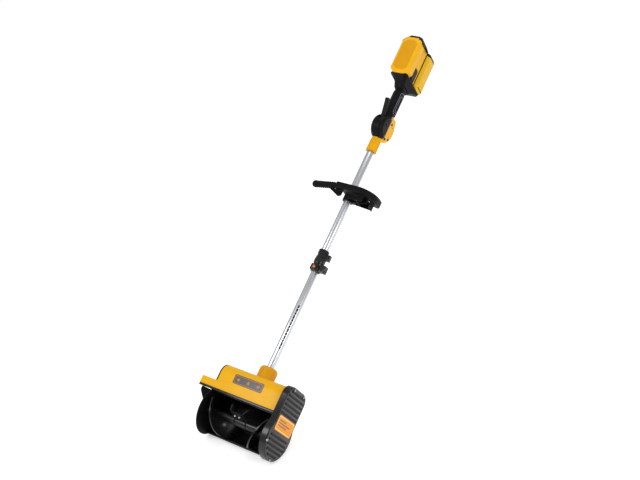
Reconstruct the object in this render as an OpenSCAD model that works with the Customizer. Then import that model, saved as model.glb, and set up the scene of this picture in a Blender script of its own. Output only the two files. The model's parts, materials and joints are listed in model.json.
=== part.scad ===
// Cordless snow shovel: a battery power head, a split shaft, and a snow-throwing head.
// Frame: millimetres, +Z up, origin on the ground under the auger axle, mouth towards -Y,
// belt cover on +X. The shaft leans back towards +Y by shaft_tilt from the vertical.
// Stations marked "up the shaft" are heights above the auger axle, measured along the shaft.

/* [Pose] */
// Lean of the shaft from the vertical, in use
shaft_tilt = 48.7; // [30:0.1:60]
// How far the shaft axis lies behind the auger axle
shaft_back = 16; // [8:1:24]

/* [Scoop] */
// Clear width between the two side plates
scoop_w = 266; // [220:2:340]
// Inner radius of the scoop shell
scoop_r = 78; // [72:1:84]
// Wall of the scoop shell
scoop_wall = 4; // [3:0.5:5]
// How far the runners stand out beyond the scoop shell
runner_rise = 4; // [2:0.5:6]
// Thickness of both side plates
side_t = 5; // [4:0.5:7]
// Angle of the shell's upper front edge, from straight ahead of the shaft
shell_from = 52; // [46:1:58]
// Angle of the shell's lower front edge
shell_to = 240; // [230:1:246]
// Depth of the wear strip in front of the shell's lower edge
scraper_arc = 8; // [6:1:12]

/* [Hood] */
// Top of the hood up the shaft
hood_top = 171; // [164:1:180]
// Front of the hood ahead of the auger axle
hood_front = 60; // [54:1:66]
// Back of the hood behind the auger axle
hood_back = 70; // [62:1:74]
// Radius of the hood's upper corners
hood_corner = 38; // [24:1:44]
// Wall of the hood
hood_wall = 3; // [2:0.5:4]
// Lower edge of the hood's front lip
lip_z = 73; // [70:1:78]
// How far the lip reaches past the left side plate
ear_reach = 63; // [30:1:80]
// Height of the lip
lip_h = 28; // [20:1:34]
// Height of the black edge strip under the lip
trim_h = 8; // [6:0.5:10]

/* [Belt cover] */
// Depth of the belt cover
cover_d = 25; // [25:1:40]
// Half width of the cover's upper part
cover_half = 74; // [68:1:78]
// Top of the cover up the shaft
cover_top = 176; // [172:1:184]
// Wall of the cover
cover_wall = 3; // [2:0.5:4]
// How far the ribs stand out of the cover
rib_h = 2; // [1.5:0.5:4]
// Spacing of the ribs
rib_pitch = 16; // [12:1:22]
// Width of a rib
rib_w = 6; // [4:0.5:8]
// Height of the label on the cover
label_h = 54; // [40:1:64]
// Height of the label's lower edge up the shaft
label_z = 16; // [10:1:20]

/* [Auger] */
// Radius of the auger axle
axle_r = 8; // [7:0.5:10]
// Radius of the auger hub tube
hub_r = 17; // [15:0.5:22]
// Outer radius of the flights
flight_r = 70; // [60:1:72]
// Thickness of the flights
flight_t = 5; // [4:0.5:7]
// Turn of each flight from its inner to its outer end
flight_turn = 200; // [140:5:300]
// Width of the centre paddle
paddle_w = 40; // [30:1:44]
// Angle of the centre paddle's first blade
paddle_angle = 15.5; // [0:0.5:40]

/* [Drive] */
// Cross shaft height above the auger axle
cross_z = 118; // [114:1:124]
// Radius of the cross shaft
cross_r = 5; // [4:0.5:6]
// Radius of the drive shaft
drive_r = 4; // [3:0.5:5]
// Gear module
gear_m = 2; // [1.8:0.1:2.2]
// Teeth of the pinion
pinion_n = 10; // [10:1:11]
// Teeth of the crown gear
crown_n = 20; // [18:1:22]
// Face width of the crown gear's teeth
crown_face = 4.4; // [3.6:0.2:5]
// Radius of the small pulley
pulley_small_r = 16; // [14:1:18]
// Radius of the large pulley
pulley_large_r = 48; // [42:1:54]
// Width of the belt
belt_w = 9; // [7:0.5:9]
// Thickness of the belt
belt_t = 4; // [3:0.5:5]

/* [Shaft tubes] */
// Outer radius of both tubes
tube_r = 14; // [12.5:0.5:15]
// Wall of both tubes
tube_wall = 1.5; // [1.2:0.1:2]
// Height of the lower tube's foot up the shaft
tube_foot_z = 160; // [158:1:166]
// Length of the lower tube
lower_len = 485; // [380:5:600]
// Length of the upper tube
upper_len = 540; // [420:5:660]

/* [Coupler] */
// Length of the coupler
coupler_len = 90; // [80:1:120]
// Depth of the lower tube in the coupler
coupler_depth = 38; // [36:1:42]
// Outer radius of the coupler
coupler_r = 19; // [18:0.5:22]

/* [Loop handle] */
// Loop handle height above the foot of the upper tube
loop_up = 290; // [200:5:330]
// Distance of the loop's bar ahead of the shaft axis
loop_out = 50; // [44:1:60]
// Radius of the loop's bar
bar_r = 13; // [11:0.5:15]
// Length of the grip on the left
grip_len = 88; // [80:2:110]
// Droop of the grip on the left
grip_droop = 9; // [0:1:14]
// Radius of the right bend
bend_r = 58; // [50:1:64]
// Depth of the ribs under the loop
web_depth = 24; // [16:1:30]

/* [Rear handle] */
// Radius of the rounded grip sides
rear_r = 19; // [17:0.5:21]
// Depth of the grip, front to back
rear_depth = 50; // [46:1:54]
// Front of the grip ahead of the shaft axis
rear_front = 14; // [13:0.5:16]
// Length of the grip above the control pod
rear_len = 112; // [100:2:130]
// Length of the collar on the tube
collar_len = 62; // [55:1:80]
// Radius of the collar
collar_r = 19.5; // [18.5:0.5:21]
// Length of the control pod
pod_len = 112; // [104:2:124]
// Half width of the control pod
pod_half = 26; // [24:0.5:29]
// Radius of the pod's front bulge
pod_front_r = 49; // [44:1:52]
// Radius of the pod's rear bulge
pod_rear_r = 56; // [52:1:60]
// Wall of the handle shells
shell_wall = 3; // [2.5:0.5:3.5]

/* [Power head] */
// Half width of the two lobes
lobe_half = 42; // [38:1:46]
// Length of the lobes along the shaft
lobe_len = 160; // [150:2:180]
// Front of the front lobe ahead of the shaft axis
lobe_front = 75; // [70:1:82]
// Back of the front lobe ahead of the shaft axis
lobe_back = 29; // [27:1:34]
// Depth of the battery
battery_depth = 72; // [64:1:80]
// Half width of the channel between the lobes
channel_half = 31; // [29:1:34]
// Length of the flare between grip and lobes
flare_len = 44; // [36:1:56]
// Corner cut of the lobes
lobe_cut = 18; // [12:1:22]
// Edge slope of the lobes
lobe_edge = 8; // [5:1:10]
// Radius of the motor stator
stator_r = 24; // [22:0.5:25]
// Length of the motor stator
stator_len = 46; // [38:1:52]
// Wall of the head casings
head_wall = 2.5; // [2:0.5:3]
// Height of the end caps
cap_h = 20; // [16:1:26]

/* [Fits] */
// Radial gap of a shaft in its bearing
run_fit = 0.05; // [0.02:0.01:0.1]
// Radial gap of a piece that slides on a tube
slide_fit = 0.08; // [0.04:0.01:0.1]
// Gap between pieces that pass each other
pass_gap = 0.4; // [0.3:0.1:0.6]

/* [Hidden] */
$fn = 64;
BIG = 400;

// Scoop and hood
half_w = scoop_w / 2;
shell_r = scoop_r + scoop_wall;
runner_r = shell_r + runner_rise;
axle_h = runner_r;
plate_out = half_w + side_t;
cover_out = half_w + cover_d;

// Bearings: outer radius and width
bearing_w = 8;
axle_bearing_r = axle_r + 6;
cross_bearing_r = cross_r + 7;
drive_bearing_r = drive_r + 7;
boss_wall = 4.5;
boss_in = 7;
lip = 1;

// Gears
pinion_r = gear_m * pinion_n / 2;
crown_r = gear_m * crown_n / 2;
pinion_tip = pinion_r + gear_m;
pinion_root = pinion_r - 1.2 * gear_m;
crown_tip_x = pinion_root + pass_gap;
crown_root_x = pinion_tip + pass_gap;
crown_disc_t = 5;
crown_rim = crown_r + crown_face / 2 + 0.8;
tooth_share = 0.27;

// Gearbox
box_r = crown_rim + 5.5;
box_left = -16;
box_right = crown_root_x + crown_disc_t + bearing_w + 8.5;
socket_r = tube_r + 5.5;
socket_top = tube_foot_z + 45;
pinion_z = cross_z + crown_r;
pinion_half = crown_face / 2 + 2.5;

// Stations up the shaft
lower_top = tube_foot_z + lower_len;
tube_gap = 6;
upper_foot = lower_top + tube_gap;
upper_top = upper_foot + upper_len;
coupler_z = lower_top - coupler_depth;
loop_z = upper_foot + loop_up;
collar_z = upper_top - collar_len;
pod_z = upper_top - 3;
pod_mid = pod_z + 0.44 * pod_len;
pod_top = pod_z + pod_len;
flare_z = pod_top + rear_len;
head_z = flare_z + flare_len;
head_top = head_z + lobe_len;

// Drive shaft ends: a square key on the lower shaft sits in the upper shaft's socket
key_half = 2.6;
key_len = 16;
key_socket_r = 7.5;

// Inner face of the drive plate's bearings
bearing_x = half_w - boss_in + lip;

// Belt run
belt_x0 = plate_out + 4;
belt_x1 = belt_x0 + belt_w;
cross_dist = sqrt(shaft_back * shaft_back + cross_z * cross_z);

// ---------- placing ----------
module on_head() {
    translate([0, 0, axle_h]) rotate([-shaft_tilt, 0, 0]) children();
}
module on_shaft() {
    on_head() translate([0, shaft_back, 0]) children();
}
// A drawing in (y, z), extruded from x0 to x1
module along_x(x0, x1) {
    translate([x0, 0, 0]) rotate([90, 0, 90]) linear_extrude(x1 - x0) children();
}
// A drawing in (x, z), extruded from y0 to y1
module along_y(y0, y1) {
    translate([0, y1, 0]) rotate([90, 0, 0]) linear_extrude(y1 - y0) children();
}
module rod_x(r, x0, x1) {
    translate([x0, 0, 0]) rotate([0, 90, 0]) cylinder(r = r, h = x1 - x0);
}
module rod_y(r, y0, y1) {
    translate([0, y1, 0]) rotate([90, 0, 0]) cylinder(r = r, h = y1 - y0);
}
module rod_z(r, z0, z1) {
    translate([0, 0, z0]) cylinder(r = r, h = z1 - z0);
}
module ring_x(r_out, r_in, x0, x1) {
    difference() {
        rod_x(r_out, x0, x1);
        rod_x(r_in, x0 - 1, x1 + 1);
    }
}
module ring_z(r_out, r_in, z0, z1) {
    difference() {
        rod_z(r_out, z0, z1);
        rod_z(r_in, z0 - 1, z1 + 1);
    }
}
// A block given by its low and high corners
module block(low, high) {
    translate(low) cube(high - low);
}

// ---------- outlines ----------
// A wedge from the origin between two angles, counted from the front (-y) over the top (+z)
module sector(from, to, r) {
    steps = 12;
    polygon(concat([[0, 0]], [for (i = [0 : steps])
        let (a = from + (to - from) * i / steps) 1.3 * r * [-cos(a), sin(a)]]));
}
// A round runner below and a box with round upper corners above
module side_outline(r, front, back, top, corner, inset) {
    circle(r = r - inset, $fn = 128);
    translate([-front + inset, 0])
        square([front + back - 2 * inset, top - corner]);
    translate([-front + corner, 0])
        square([front + back - 2 * corner, top - inset]);
    for (y = [-front + corner, back - corner])
        translate([y, top - corner]) circle(r = corner - inset, $fn = 96);
}
module cover_outline(inset) {
    side_outline(runner_r, cover_half, cover_half, cover_top, hood_corner, inset);
}
module hood_outline(inset) {
    translate([-hood_front + inset, 0])
        square([hood_front + hood_back - 2 * inset, hood_top - hood_corner]);
    translate([-hood_front + hood_corner, 0])
        square([hood_front + hood_back - 2 * hood_corner, hood_top - inset]);
    for (y = [-hood_front + hood_corner, hood_back - hood_corner])
        translate([y, hood_top - hood_corner]) circle(r = hood_corner - inset, $fn = 96);
}
module left_outline() {
    circle(r = runner_r, $fn = 128);
    hood_outline(0);
}
// The belt's loop round two circles whose centres are cross_dist apart
module belt_outline(r_large, r_small) {
    lean = atan2(shaft_back, cross_z);
    open = acos((r_large - r_small) / cross_dist);
    circle(r = r_large, $fn = 96);
    rotate(-lean) {
        translate([0, cross_dist]) circle(r = r_small, $fn = 96);
        polygon([
            r_large * [sin(open), cos(open)],
            [0, cross_dist] + r_small * [sin(open), cos(open)],
            [0, cross_dist] + r_small * [-sin(open), cos(open)],
            r_large * [-sin(open), cos(open)]]);
    }
}
// Two circles of radius r joined along y, from y0 to y1
module pill(r, y0, y1) {
    translate([0, y0 + r]) circle(r = r);
    translate([0, y1 - r]) circle(r = r);
    translate([-r, y0 + r]) square([2 * r, y1 - y0 - 2 * r]);
}
// A rectangle with its corners cut off, in (a, b)
module cut_box(half, b0, b1, cut) {
    polygon([[-half + cut, b0], [half - cut, b0], [half, b0 + cut], [half, b1 - cut],
        [half - cut, b1], [-half + cut, b1], [-half, b1 - cut], [-half, b0 + cut]]);
}

// ---------- snow-throwing head ----------
module scoop_shell() {
    color([0.07, 0.07, 0.08]) on_head() along_x(-half_w, half_w) intersection() {
        difference() {
            circle(r = shell_r, $fn = 160);
            circle(r = scoop_r, $fn = 160);
        }
        sector(shell_from, shell_to, shell_r);
    }
}
module scraper() {
    color([0.16, 0.16, 0.17]) on_head() along_x(-half_w, half_w) intersection() {
        difference() {
            circle(r = shell_r - 0.5, $fn = 160);
            circle(r = scoop_r + 0.5, $fn = 160);
        }
        sector(shell_to, shell_to + scraper_arc, shell_r);
    }
}
module bearing_boss(r, x0, x1) {
    rod_x(r + boss_wall, x0, x1);
}
module left_side() {
    cap = 3;
    wing_t = 4;
    wing_x = half_w + ear_reach - 14;
    wing_y = hood_front - 4;
    wing_top = lip_z - trim_h;
    color([0.08, 0.08, 0.09]) on_head() {
        difference() {
            union() {
                along_x(-plate_out, -half_w) left_outline();
                bearing_boss(axle_bearing_r, -half_w - bearing_w - cap - 1, -half_w);
            }
            rod_x(axle_bearing_r, -half_w - bearing_w - 1, -half_w + 1);
            block([-plate_out - 1, -BIG, wing_top], [-half_w + 1, -hood_front + trim_d, lip_z]);
            block([-plate_out - 1, -BIG, lip_z - 1], [-half_w + 1, -hood_front + ear_t, lip_z + lip_h]);
        }
        intersection() {
            linear_extrude(wing_top) polygon([[-half_w - 1, -14], [-half_w - side_t, -14],
                [-wing_x, -wing_y], [-wing_x + wing_t, -wing_y - 2], [-half_w - 1, -24]]);
            along_y(-BIG / 2, 0) polygon([[-half_w - 1, 2], [-half_w - 22, 12],
                [-wing_x - 2, wing_top - 8], [-wing_x - 2, wing_top], [-half_w - 1, wing_top]]);
        }
    }
}
module drive_plate() {
    color([0.10, 0.10, 0.11]) on_head() difference() {
        union() {
            along_x(half_w, plate_out) cover_outline(cover_wall);
            bearing_boss(axle_bearing_r, half_w - boss_in, plate_out);
            translate([0, shaft_back, cross_z])
                bearing_boss(cross_bearing_r, half_w - boss_in, plate_out);
        }
        rod_x(axle_bearing_r, bearing_x, plate_out + 1);
        rod_x(axle_r + 1, half_w - boss_in - 1, bearing_x + 1);
        translate([0, shaft_back, cross_z]) {
            rod_x(cross_bearing_r, bearing_x, plate_out + 1);
            rod_x(cross_r + 1, half_w - boss_in - 1, bearing_x + 1);
        }
    }
}
// Thickness of the lip, and depth of the edge strip behind the hood's front
ear_t = 4;
trim_d = 9;
module hood() {
    color([0.98, 0.75, 0.02]) on_head() {
        difference() {
            along_x(-half_w, half_w) difference() {
                hood_outline(0);
                hood_outline(hood_wall);
                circle(r = shell_r, $fn = 160);
                translate([-BIG, -BIG + lip_z]) square([BIG, BIG]);
            }
            translate([0, shaft_back, hood_top - hood_corner]) rod_z(socket_r + 1, 0, BIG);
        }
        block([-half_w - ear_reach, -hood_front, lip_z], [-half_w, -hood_front + ear_t, lip_z + lip_h]);
        block([-half_w - ear_reach, -hood_front, lip_z + lip_h - hood_wall],
            [-plate_out, -hood_front + 20, lip_z + lip_h]);
    }
}
module lip_trim() {
    color([0.05, 0.05, 0.06]) on_head() difference() {
        block([-half_w - ear_reach + 2, -hood_front - 2, lip_z - trim_h],
            [half_w, -hood_front + trim_d, lip_z]);
        block([-half_w - ear_reach + 4, -hood_front + 3, lip_z - trim_h - 1],
            [-plate_out - 10, -hood_front + 11, lip_z - 3]);
    }
}
module belt_cover() {
    ribs = floor((cover_top + runner_r) / rib_pitch);
    color([0.11, 0.11, 0.12]) on_head() {
        difference() {
            along_x(half_w, cover_out) cover_outline(0);
            along_x(half_w - 1, cover_out - cover_wall) cover_outline(cover_wall);
        }
        along_x(cover_out, cover_out + rib_h) intersection() {
            cover_outline(12);
            for (i = [1 : ribs - 1]) {
                z = -runner_r + i * rib_pitch;
                if (z + rib_w < label_z - 1 || z > label_z + label_h + 1)
                    translate([-BIG / 2, z]) square([BIG, rib_w]);
            }
        }
    }
}
module cover_label() {
    color([0.95, 0.55, 0.08]) on_head()
        block([cover_out, -cover_half + 10, label_z],
            [cover_out + 1.2, cover_half - 8, label_z + label_h]);
}
module neck_cover() {
    base_r = 34;
    top_z = hood_top + 48;
    round = 14;
    skirt = 8;
    color([0.98, 0.75, 0.02]) on_shaft() difference() {
        union() {
            rod_z(base_r, hood_top - skirt, top_z - round);
            rod_z(base_r - round, hood_top - skirt, top_z);
            translate([0, 0, top_z - round]) rotate_extrude()
                translate([base_r - round, 0]) intersection() {
                    circle(r = round);
                    square(round);
                }
        }
        translate([0, -shaft_back, 0]) along_x(-base_r - 1, base_r + 1) hood_outline(0);
        rod_z(base_r - hood_wall, hood_top - skirt - 1, hood_top + 20);
        rod_z(socket_r, hood_top - 1, socket_top);
        rod_z(tube_r, hood_top - 1, top_z + 1);
    }
}
module gearbox_half(side) {
    disc_x1 = crown_root_x + crown_disc_t;
    color([0.55, 0.56, 0.58]) on_shaft() intersection() {
        difference() {
            union() {
                translate([0, 0, cross_z]) rod_x(box_r, box_left, box_right);
                rod_z(socket_r, cross_z, socket_top);
                difference() {
                    block([box_left, -10, cross_z - box_r - 12], [box_right, 10, cross_z - box_r + 8]);
                    translate([0, -shaft_back, 0]) rod_x(shell_r, -BIG / 2, BIG / 2);
                }
            }
            translate([0, 0, cross_z]) {
                rod_x(crown_rim + 1.5, box_left + bearing_w + 3, disc_x1 + 1);
                rod_x(cross_bearing_r, disc_x1, disc_x1 + bearing_w + 1);
                rod_x(cross_bearing_r, box_left + 3, box_left + bearing_w + 4);
                rod_x(cross_r + 1.5, 0, box_right + 1);
            }
            rod_z(pinion_tip + 1.5, cross_z, pinion_z + pinion_half + 1.5);
            rod_z(drive_bearing_r, cross_z, pinion_z + pinion_half + 1.5 + bearing_w);
            rod_z(drive_r + 3, cross_z, socket_top);
            rod_z(tube_r, tube_foot_z, socket_top + 1);
        }
        block([side < 0 ? -BIG : 0, -BIG, -BIG], [side < 0 ? 0 : BIG, BIG, BIG]);
    }
}
module gearbox_left() {
    gearbox_half(-1);
}
module gearbox_right() {
    gearbox_half(1);
}
module lower_bearings() {
    disc_x1 = crown_root_x + crown_disc_t;
    seat = pinion_z + pinion_half + 1.5;
    color([0.72, 0.73, 0.75]) {
        on_head() {
            ring_x(axle_bearing_r, axle_r + run_fit, -half_w - bearing_w - 1, -half_w - 1);
            ring_x(axle_bearing_r, axle_r + run_fit, bearing_x, bearing_x + bearing_w);
            translate([0, shaft_back, cross_z]) {
                ring_x(cross_bearing_r, cross_r + run_fit, bearing_x, bearing_x + bearing_w);
                ring_x(cross_bearing_r, cross_r + run_fit, disc_x1 + 1, disc_x1 + 1 + bearing_w);
                ring_x(cross_bearing_r, cross_r + run_fit, box_left + 3, box_left + 3 + bearing_w);
            }
        }
        on_shaft() {
            ring_z(drive_bearing_r, drive_r + run_fit, seat, seat + bearing_w);
            for (z = [lower_top - 200, lower_top - 60])
                ring_z(tube_r - tube_wall, drive_r + run_fit, z, z + 14);
        }
    }
}
module drive_belt() {
    color([0.06, 0.06, 0.06]) on_head() along_x(belt_x0, belt_x1) difference() {
        belt_outline(pulley_large_r + pass_gap + belt_t, pulley_small_r + pass_gap + belt_t);
        belt_outline(pulley_large_r + pass_gap, pulley_small_r + pass_gap);
    }
}
// A pan-head screw along x, with its head outside x0 on the given side
module screw_x(x0, side) {
    head_r = 4.5;
    mirror([side < 0 ? 1 : 0, 0, 0]) {
        difference() {
            rod_x(head_r, abs(x0), abs(x0) + 2.5);
            block([abs(x0) + 1.2, -head_r, -0.7], [abs(x0) + 3, head_r, 0.7]);
        }
    }
}
module attachment_screws() {
    inset = 12;
    color([0.30, 0.30, 0.32]) on_head() {
        for (y = [-40, 40])
            translate([0, y, cover_top - 10.5]) screw_x(cover_out, 1);
        for (a = [-160, -90, -20])
            translate([0, (runner_r - 5) * cos(a), (runner_r - 5) * sin(a)]) screw_x(cover_out, 1);
        for (p = [[-hood_front + inset, 60], [hood_back - inset, 90], [0, hood_top - inset]])
            translate([0, p.x, p.y]) screw_x(-plate_out, -1);
    }
}

// ---------- auger ----------
module auger_axle() {
    color([0.70, 0.71, 0.73]) on_head() {
        rod_x(axle_r, -half_w - bearing_w, belt_x1 + 2.5);
    }
}
hub_half = half_w - boss_in - 2;
module auger_hub() {
    color([0.09, 0.09, 0.10]) on_head() ring_x(hub_r, axle_r, -hub_half, hub_half);
}
// One helical flight on the x axis: a swept plate from x0 to x1 that turns by turn degrees
module flight(x0, x1, start, turn) {
    steps = 36;
    r_in = hub_r - 0.4;
    half_t = flight_t / 2 * sign(x1 - x0);
    corner = [for (i = [0 : steps], c = [[r_in, -half_t], [flight_r, -half_t],
        [flight_r, half_t], [r_in, half_t]])
        let (a = start + turn * i / steps, x = x0 + (x1 - x0) * i / steps)
        [x + c.y, -c.x * cos(a), c.x * sin(a)]];
    flip = sign(turn) * sign(x1 - x0) < 0;
    sides = [for (i = [0 : steps - 1], k = [0 : 3])
        let (a = 4 * i + k, b = 4 * i + (k + 1) % 4)
        each [[a, b, b + 4], [a, b + 4, a + 4]]];
    ends = [[3, 2, 1], [3, 1, 0], [4 * steps, 4 * steps + 1, 4 * steps + 2],
        [4 * steps, 4 * steps + 2, 4 * steps + 3]];
    faces = [for (f = concat(sides, ends)) flip ? f : [f[2], f[1], f[0]]];
    polyhedron(points = corner, faces = faces);
}
module auger_flights() {
    inner = paddle_w / 2 + flight_t / 2 + 2;
    outer = hub_half - flight_t / 2 - 1;
    color([0.10, 0.10, 0.11]) on_head() for (side = [-1, 1], start = [0, 180])
        flight(side * inner, side * outer, paddle_angle + start, flight_turn);
}
module centre_paddle() {
    color([0.12, 0.12, 0.13]) on_head() for (a = [paddle_angle, paddle_angle + 180])
        rotate([180 - a, 0, 0]) difference() {
            block([-paddle_w / 2, hub_r - 1, -flight_t / 2], [paddle_w / 2, flight_r, flight_t / 2]);
            rod_x(hub_r, -BIG / 2, BIG / 2);
        }
}
module shear_bolt() {
    color([0.80, 0.81, 0.83]) on_head() rotate([180 - paddle_angle, 0, 0])
        for (x = [-9, 9]) translate([x, hub_r + 34, 0]) {
            rod_z(4.5, flight_t / 2, flight_t / 2 + 4);
            rod_z(2.5, flight_t / 2 + 4, flight_t / 2 + 6);
        }
}
module large_pulley() {
    flange = 2;
    color([0.20, 0.20, 0.21]) on_head() difference() {
        union() {
            rod_x(pulley_large_r, belt_x0 - flange, belt_x1 + flange);
            rod_x(pulley_large_r + 2, belt_x0 - flange, belt_x0 - pass_gap);
        }
        rod_x(axle_r, belt_x0 - 5, belt_x1 + 5);
        for (a = [0 : 60 : 300])
            rotate([a, 0, 0]) translate([0, 28, 0]) rod_x(9, belt_x0 - 5, belt_x1 + 5);
    }
}

// ---------- cross shaft ----------
module cross_shaft() {
    color([0.70, 0.71, 0.73]) on_shaft() translate([0, 0, cross_z])
        rod_x(cross_r, box_left + 4, belt_x1 + 2.5);
}
module crown_gear() {
    tooth = tooth_share * 360 / crown_n;
    color([0.58, 0.59, 0.61]) on_shaft() translate([0, 0, cross_z]) {
        difference() {
            rod_x(crown_rim, crown_root_x, crown_root_x + crown_disc_t);
            rod_x(cross_r, 0, BIG / 2);
        }
        rotate([0, 90, 0]) for (i = [0 : crown_n - 1])
            rotate(180 + 360 * i / crown_n - tooth / 2) translate([0, 0, crown_tip_x])
                rotate_extrude(angle = tooth) translate([crown_r - crown_face / 2, 0])
                    square([crown_face, crown_root_x - crown_tip_x + 1]);
    }
}
module small_pulley() {
    flange = 2;
    color([0.20, 0.20, 0.21]) on_shaft() translate([0, 0, cross_z]) difference() {
        union() {
            rod_x(pulley_small_r, belt_x0 - flange, belt_x1 + flange);
            for (x = [belt_x0 - flange, belt_x1 + pass_gap])
                rod_x(pulley_small_r + 2, x, x + flange - pass_gap);
        }
        rod_x(cross_r, belt_x0 - 5, belt_x1 + 5);
    }
}

// ---------- lower drive shaft ----------
module lower_drive_shaft() {
    color([0.66, 0.67, 0.70]) on_shaft() {
        rod_z(drive_r, pinion_z - pinion_half, lower_top - 2);
        block([-key_half, -key_half, lower_top - 3], [key_half, key_half, lower_top + key_len]);
    }
}
module drive_pinion() {
    half_root = 1.6;
    half_pitch = 0.92;
    half_tip = 0.45;
    // a gap, not a tooth, faces the crown gear's tooth on the x axis
    turn = 180 / pinion_n;
    color([0.50, 0.51, 0.53]) on_shaft()
        translate([0, 0, pinion_z - pinion_half]) linear_extrude(2 * pinion_half) difference() {
            union() {
                circle(r = pinion_root);
                for (i = [0 : pinion_n - 1])
                    rotate(turn + 360 * i / pinion_n) polygon([[pinion_root - 1, -half_root],
                        [pinion_r, -half_pitch], [pinion_tip, -half_tip], [pinion_tip, half_tip],
                        [pinion_r, half_pitch], [pinion_root - 1, half_root]]);
            }
            circle(r = drive_r);
        }
}

// ---------- tubes and coupler ----------
button_z = coupler_z + 14;
button_r = 5;
module lower_tube() {
    color([0.86, 0.87, 0.89]) on_shaft() difference() {
        ring_z(tube_r, tube_r - tube_wall, tube_foot_z, lower_top);
        translate([0, 0, button_z]) rod_y(button_r + 0.6, -tube_r - 1, 0);
    }
}
module upper_tube() {
    color([0.86, 0.87, 0.89]) on_shaft()
        ring_z(tube_r, tube_r - tube_wall, upper_foot, upper_top);
}
ear_x = coupler_r + 14.5;
ear_half = 9;
stud_r = 3;
knob_z = coupler_z + 20;
module coupler_body() {
    ear_h = 28;
    ring_rise = 2.5;
    upper_ear_z = upper_foot + 8;
    color([0.07, 0.07, 0.08]) on_shaft() difference() {
        union() {
            rod_z(coupler_r, coupler_z, coupler_z + coupler_len);
            rod_z(coupler_r + ring_rise, lower_top - 4, upper_foot + 8);
            block([0, -ear_half, coupler_z + 3], [ear_x + 8, ear_half, coupler_z + 3 + ear_h]);
            block([0, -ear_half + 1, upper_ear_z], [ear_x + 3, ear_half - 1, upper_ear_z + 24]);
            block([-coupler_r - 5, -8, coupler_z + 6], [0, 8, coupler_z + 30]);
            translate([0, 0, button_z]) rod_y(button_r + 3.5, -coupler_r - 3, 0);
        }
        rod_z(tube_r + slide_fit, coupler_z - 1, lower_top + 0.5);
        rod_z(tube_r, upper_foot, coupler_z + coupler_len + 1);
        rod_z(key_socket_r + 1.5, coupler_z, coupler_z + coupler_len);
        block([0, -1.5, coupler_z - 1], [ear_x + 9, 1.5, coupler_z + 3 + ear_h + 1]);
        translate([ear_x, 0, knob_z - 3]) rod_y(stud_r + run_fit, -BIG / 2, BIG / 2);
        translate([0, 0, button_z]) rod_y(button_r + run_fit, -BIG / 2, 0);
    }
}
module coupler_knob() {
    lobe = 6;
    color([0.06, 0.06, 0.07]) on_shaft() translate([ear_x, 0, knob_z - 3]) {
        rod_y(stud_r, -ear_half - 4, ear_half + 3);
        along_y(-ear_half - 14, -ear_half - pass_gap) {
            circle(r = 9);
            for (a = [30, 150, 270])
                rotate(a) translate([9.5, 0]) circle(r = lobe);
        }
        rod_y(6, ear_half + pass_gap, ear_half + 5);
    }
}
module coupler_button() {
    color([0.85, 0.35, 0.08]) on_shaft() translate([0, 0, button_z])
        rod_y(button_r, -coupler_r - 8, -tube_r - pass_gap);
}

// ---------- loop handle ----------
clamp_h = 40;
clamp_wall = 7;
loop_knob_x = 24;
junction_x = -42;
clamp_ear = [4, 20];
// What the web leaves clear: the clamp, its ear, and the knob's turning circle
module loop_clamp_room() {
    circle(r = tube_r + clamp_wall);
    translate([0, clamp_ear[0] - 3]) square([loop_knob_x + 9, clamp_ear[1] - clamp_ear[0] + 3]);
    translate([loop_knob_x - 10, clamp_ear[1] - 1]) square([20, 14]);
}
module loop_frame() {
    top = bar_r;
    low = -bar_r;
    rib = 3;
    bend_x = 45;
    end_y = bend_r - loop_out;
    color([0.07, 0.07, 0.08]) on_shaft() translate([0, 0, loop_z]) {
        translate([0, 0, low]) linear_extrude(top - low) {
            translate([junction_x, -loop_out - bar_r]) square([bend_x - junction_x, 2 * bar_r]);
            translate([bend_x, end_y]) intersection() {
                difference() {
                    circle(r = bend_r + bar_r, $fn = 96);
                    circle(r = bend_r - bar_r, $fn = 96);
                }
                translate([0, -BIG]) square(BIG);
            }
            translate([bend_x + bend_r - bar_r, end_y]) square([2 * bar_r, 24]);
            translate([bend_x + bend_r, end_y + 24]) circle(r = bar_r);
        }
        translate([0, 0, low - web_depth]) {
            linear_extrude(web_depth) difference() {
                union() {
                    rotate(-18) translate([tube_r + clamp_wall, -rib]) square([bend_r + 22, rib]);
                    rotate(14) translate([tube_r + clamp_wall, -rib]) square([bend_r + 18, rib]);
                    translate([bend_x + bend_r - bar_r, end_y - 14]) square([rib, 40]);
                    translate([20, -loop_out + 6]) square([60, rib]);
                    translate([52, -loop_out + 6]) square([rib, 52]);
                }
                loop_clamp_room();
            }
        }
        translate([0, 0, low - 3]) linear_extrude(3) difference() {
            polygon([[10, -loop_out], [bend_x, -loop_out], [bend_x + bend_r - 22, -24],
                [bend_x + bend_r - bar_r, end_y], [bend_x + bend_r - bar_r, end_y + 26], [10, 12]]);
            loop_clamp_room();
        }
        difference() {
            along_y(-loop_out + 4, -loop_out + bar_r) polygon([[junction_x - 34, low + 1],
                [-tube_r, low + 1], [-tube_r, low - web_depth + 6], [-tube_r - 12, low - web_depth]]);
            translate([junction_x, -loop_out, 0]) rotate([0, -grip_droop, 0])
                rod_x(bar_r - 1, -grip_len, 8);
        }
    }
}
module loop_grip() {
    color([0.05, 0.05, 0.055]) on_shaft() translate([junction_x, -loop_out, loop_z])
        difference() {
            rotate([0, -90 - grip_droop, 0]) rotate_extrude() intersection() {
                union() {
                    translate([0, grip_len]) circle(r = bar_r + 1);
                    translate([0, -8]) square([bar_r - 1, grip_len + 8]);
                }
                translate([0, -BIG / 2]) square(BIG);
            }
            block([0, -BIG / 4, -BIG / 4], [BIG / 4, BIG / 4, BIG / 4]);
        }
}
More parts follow.
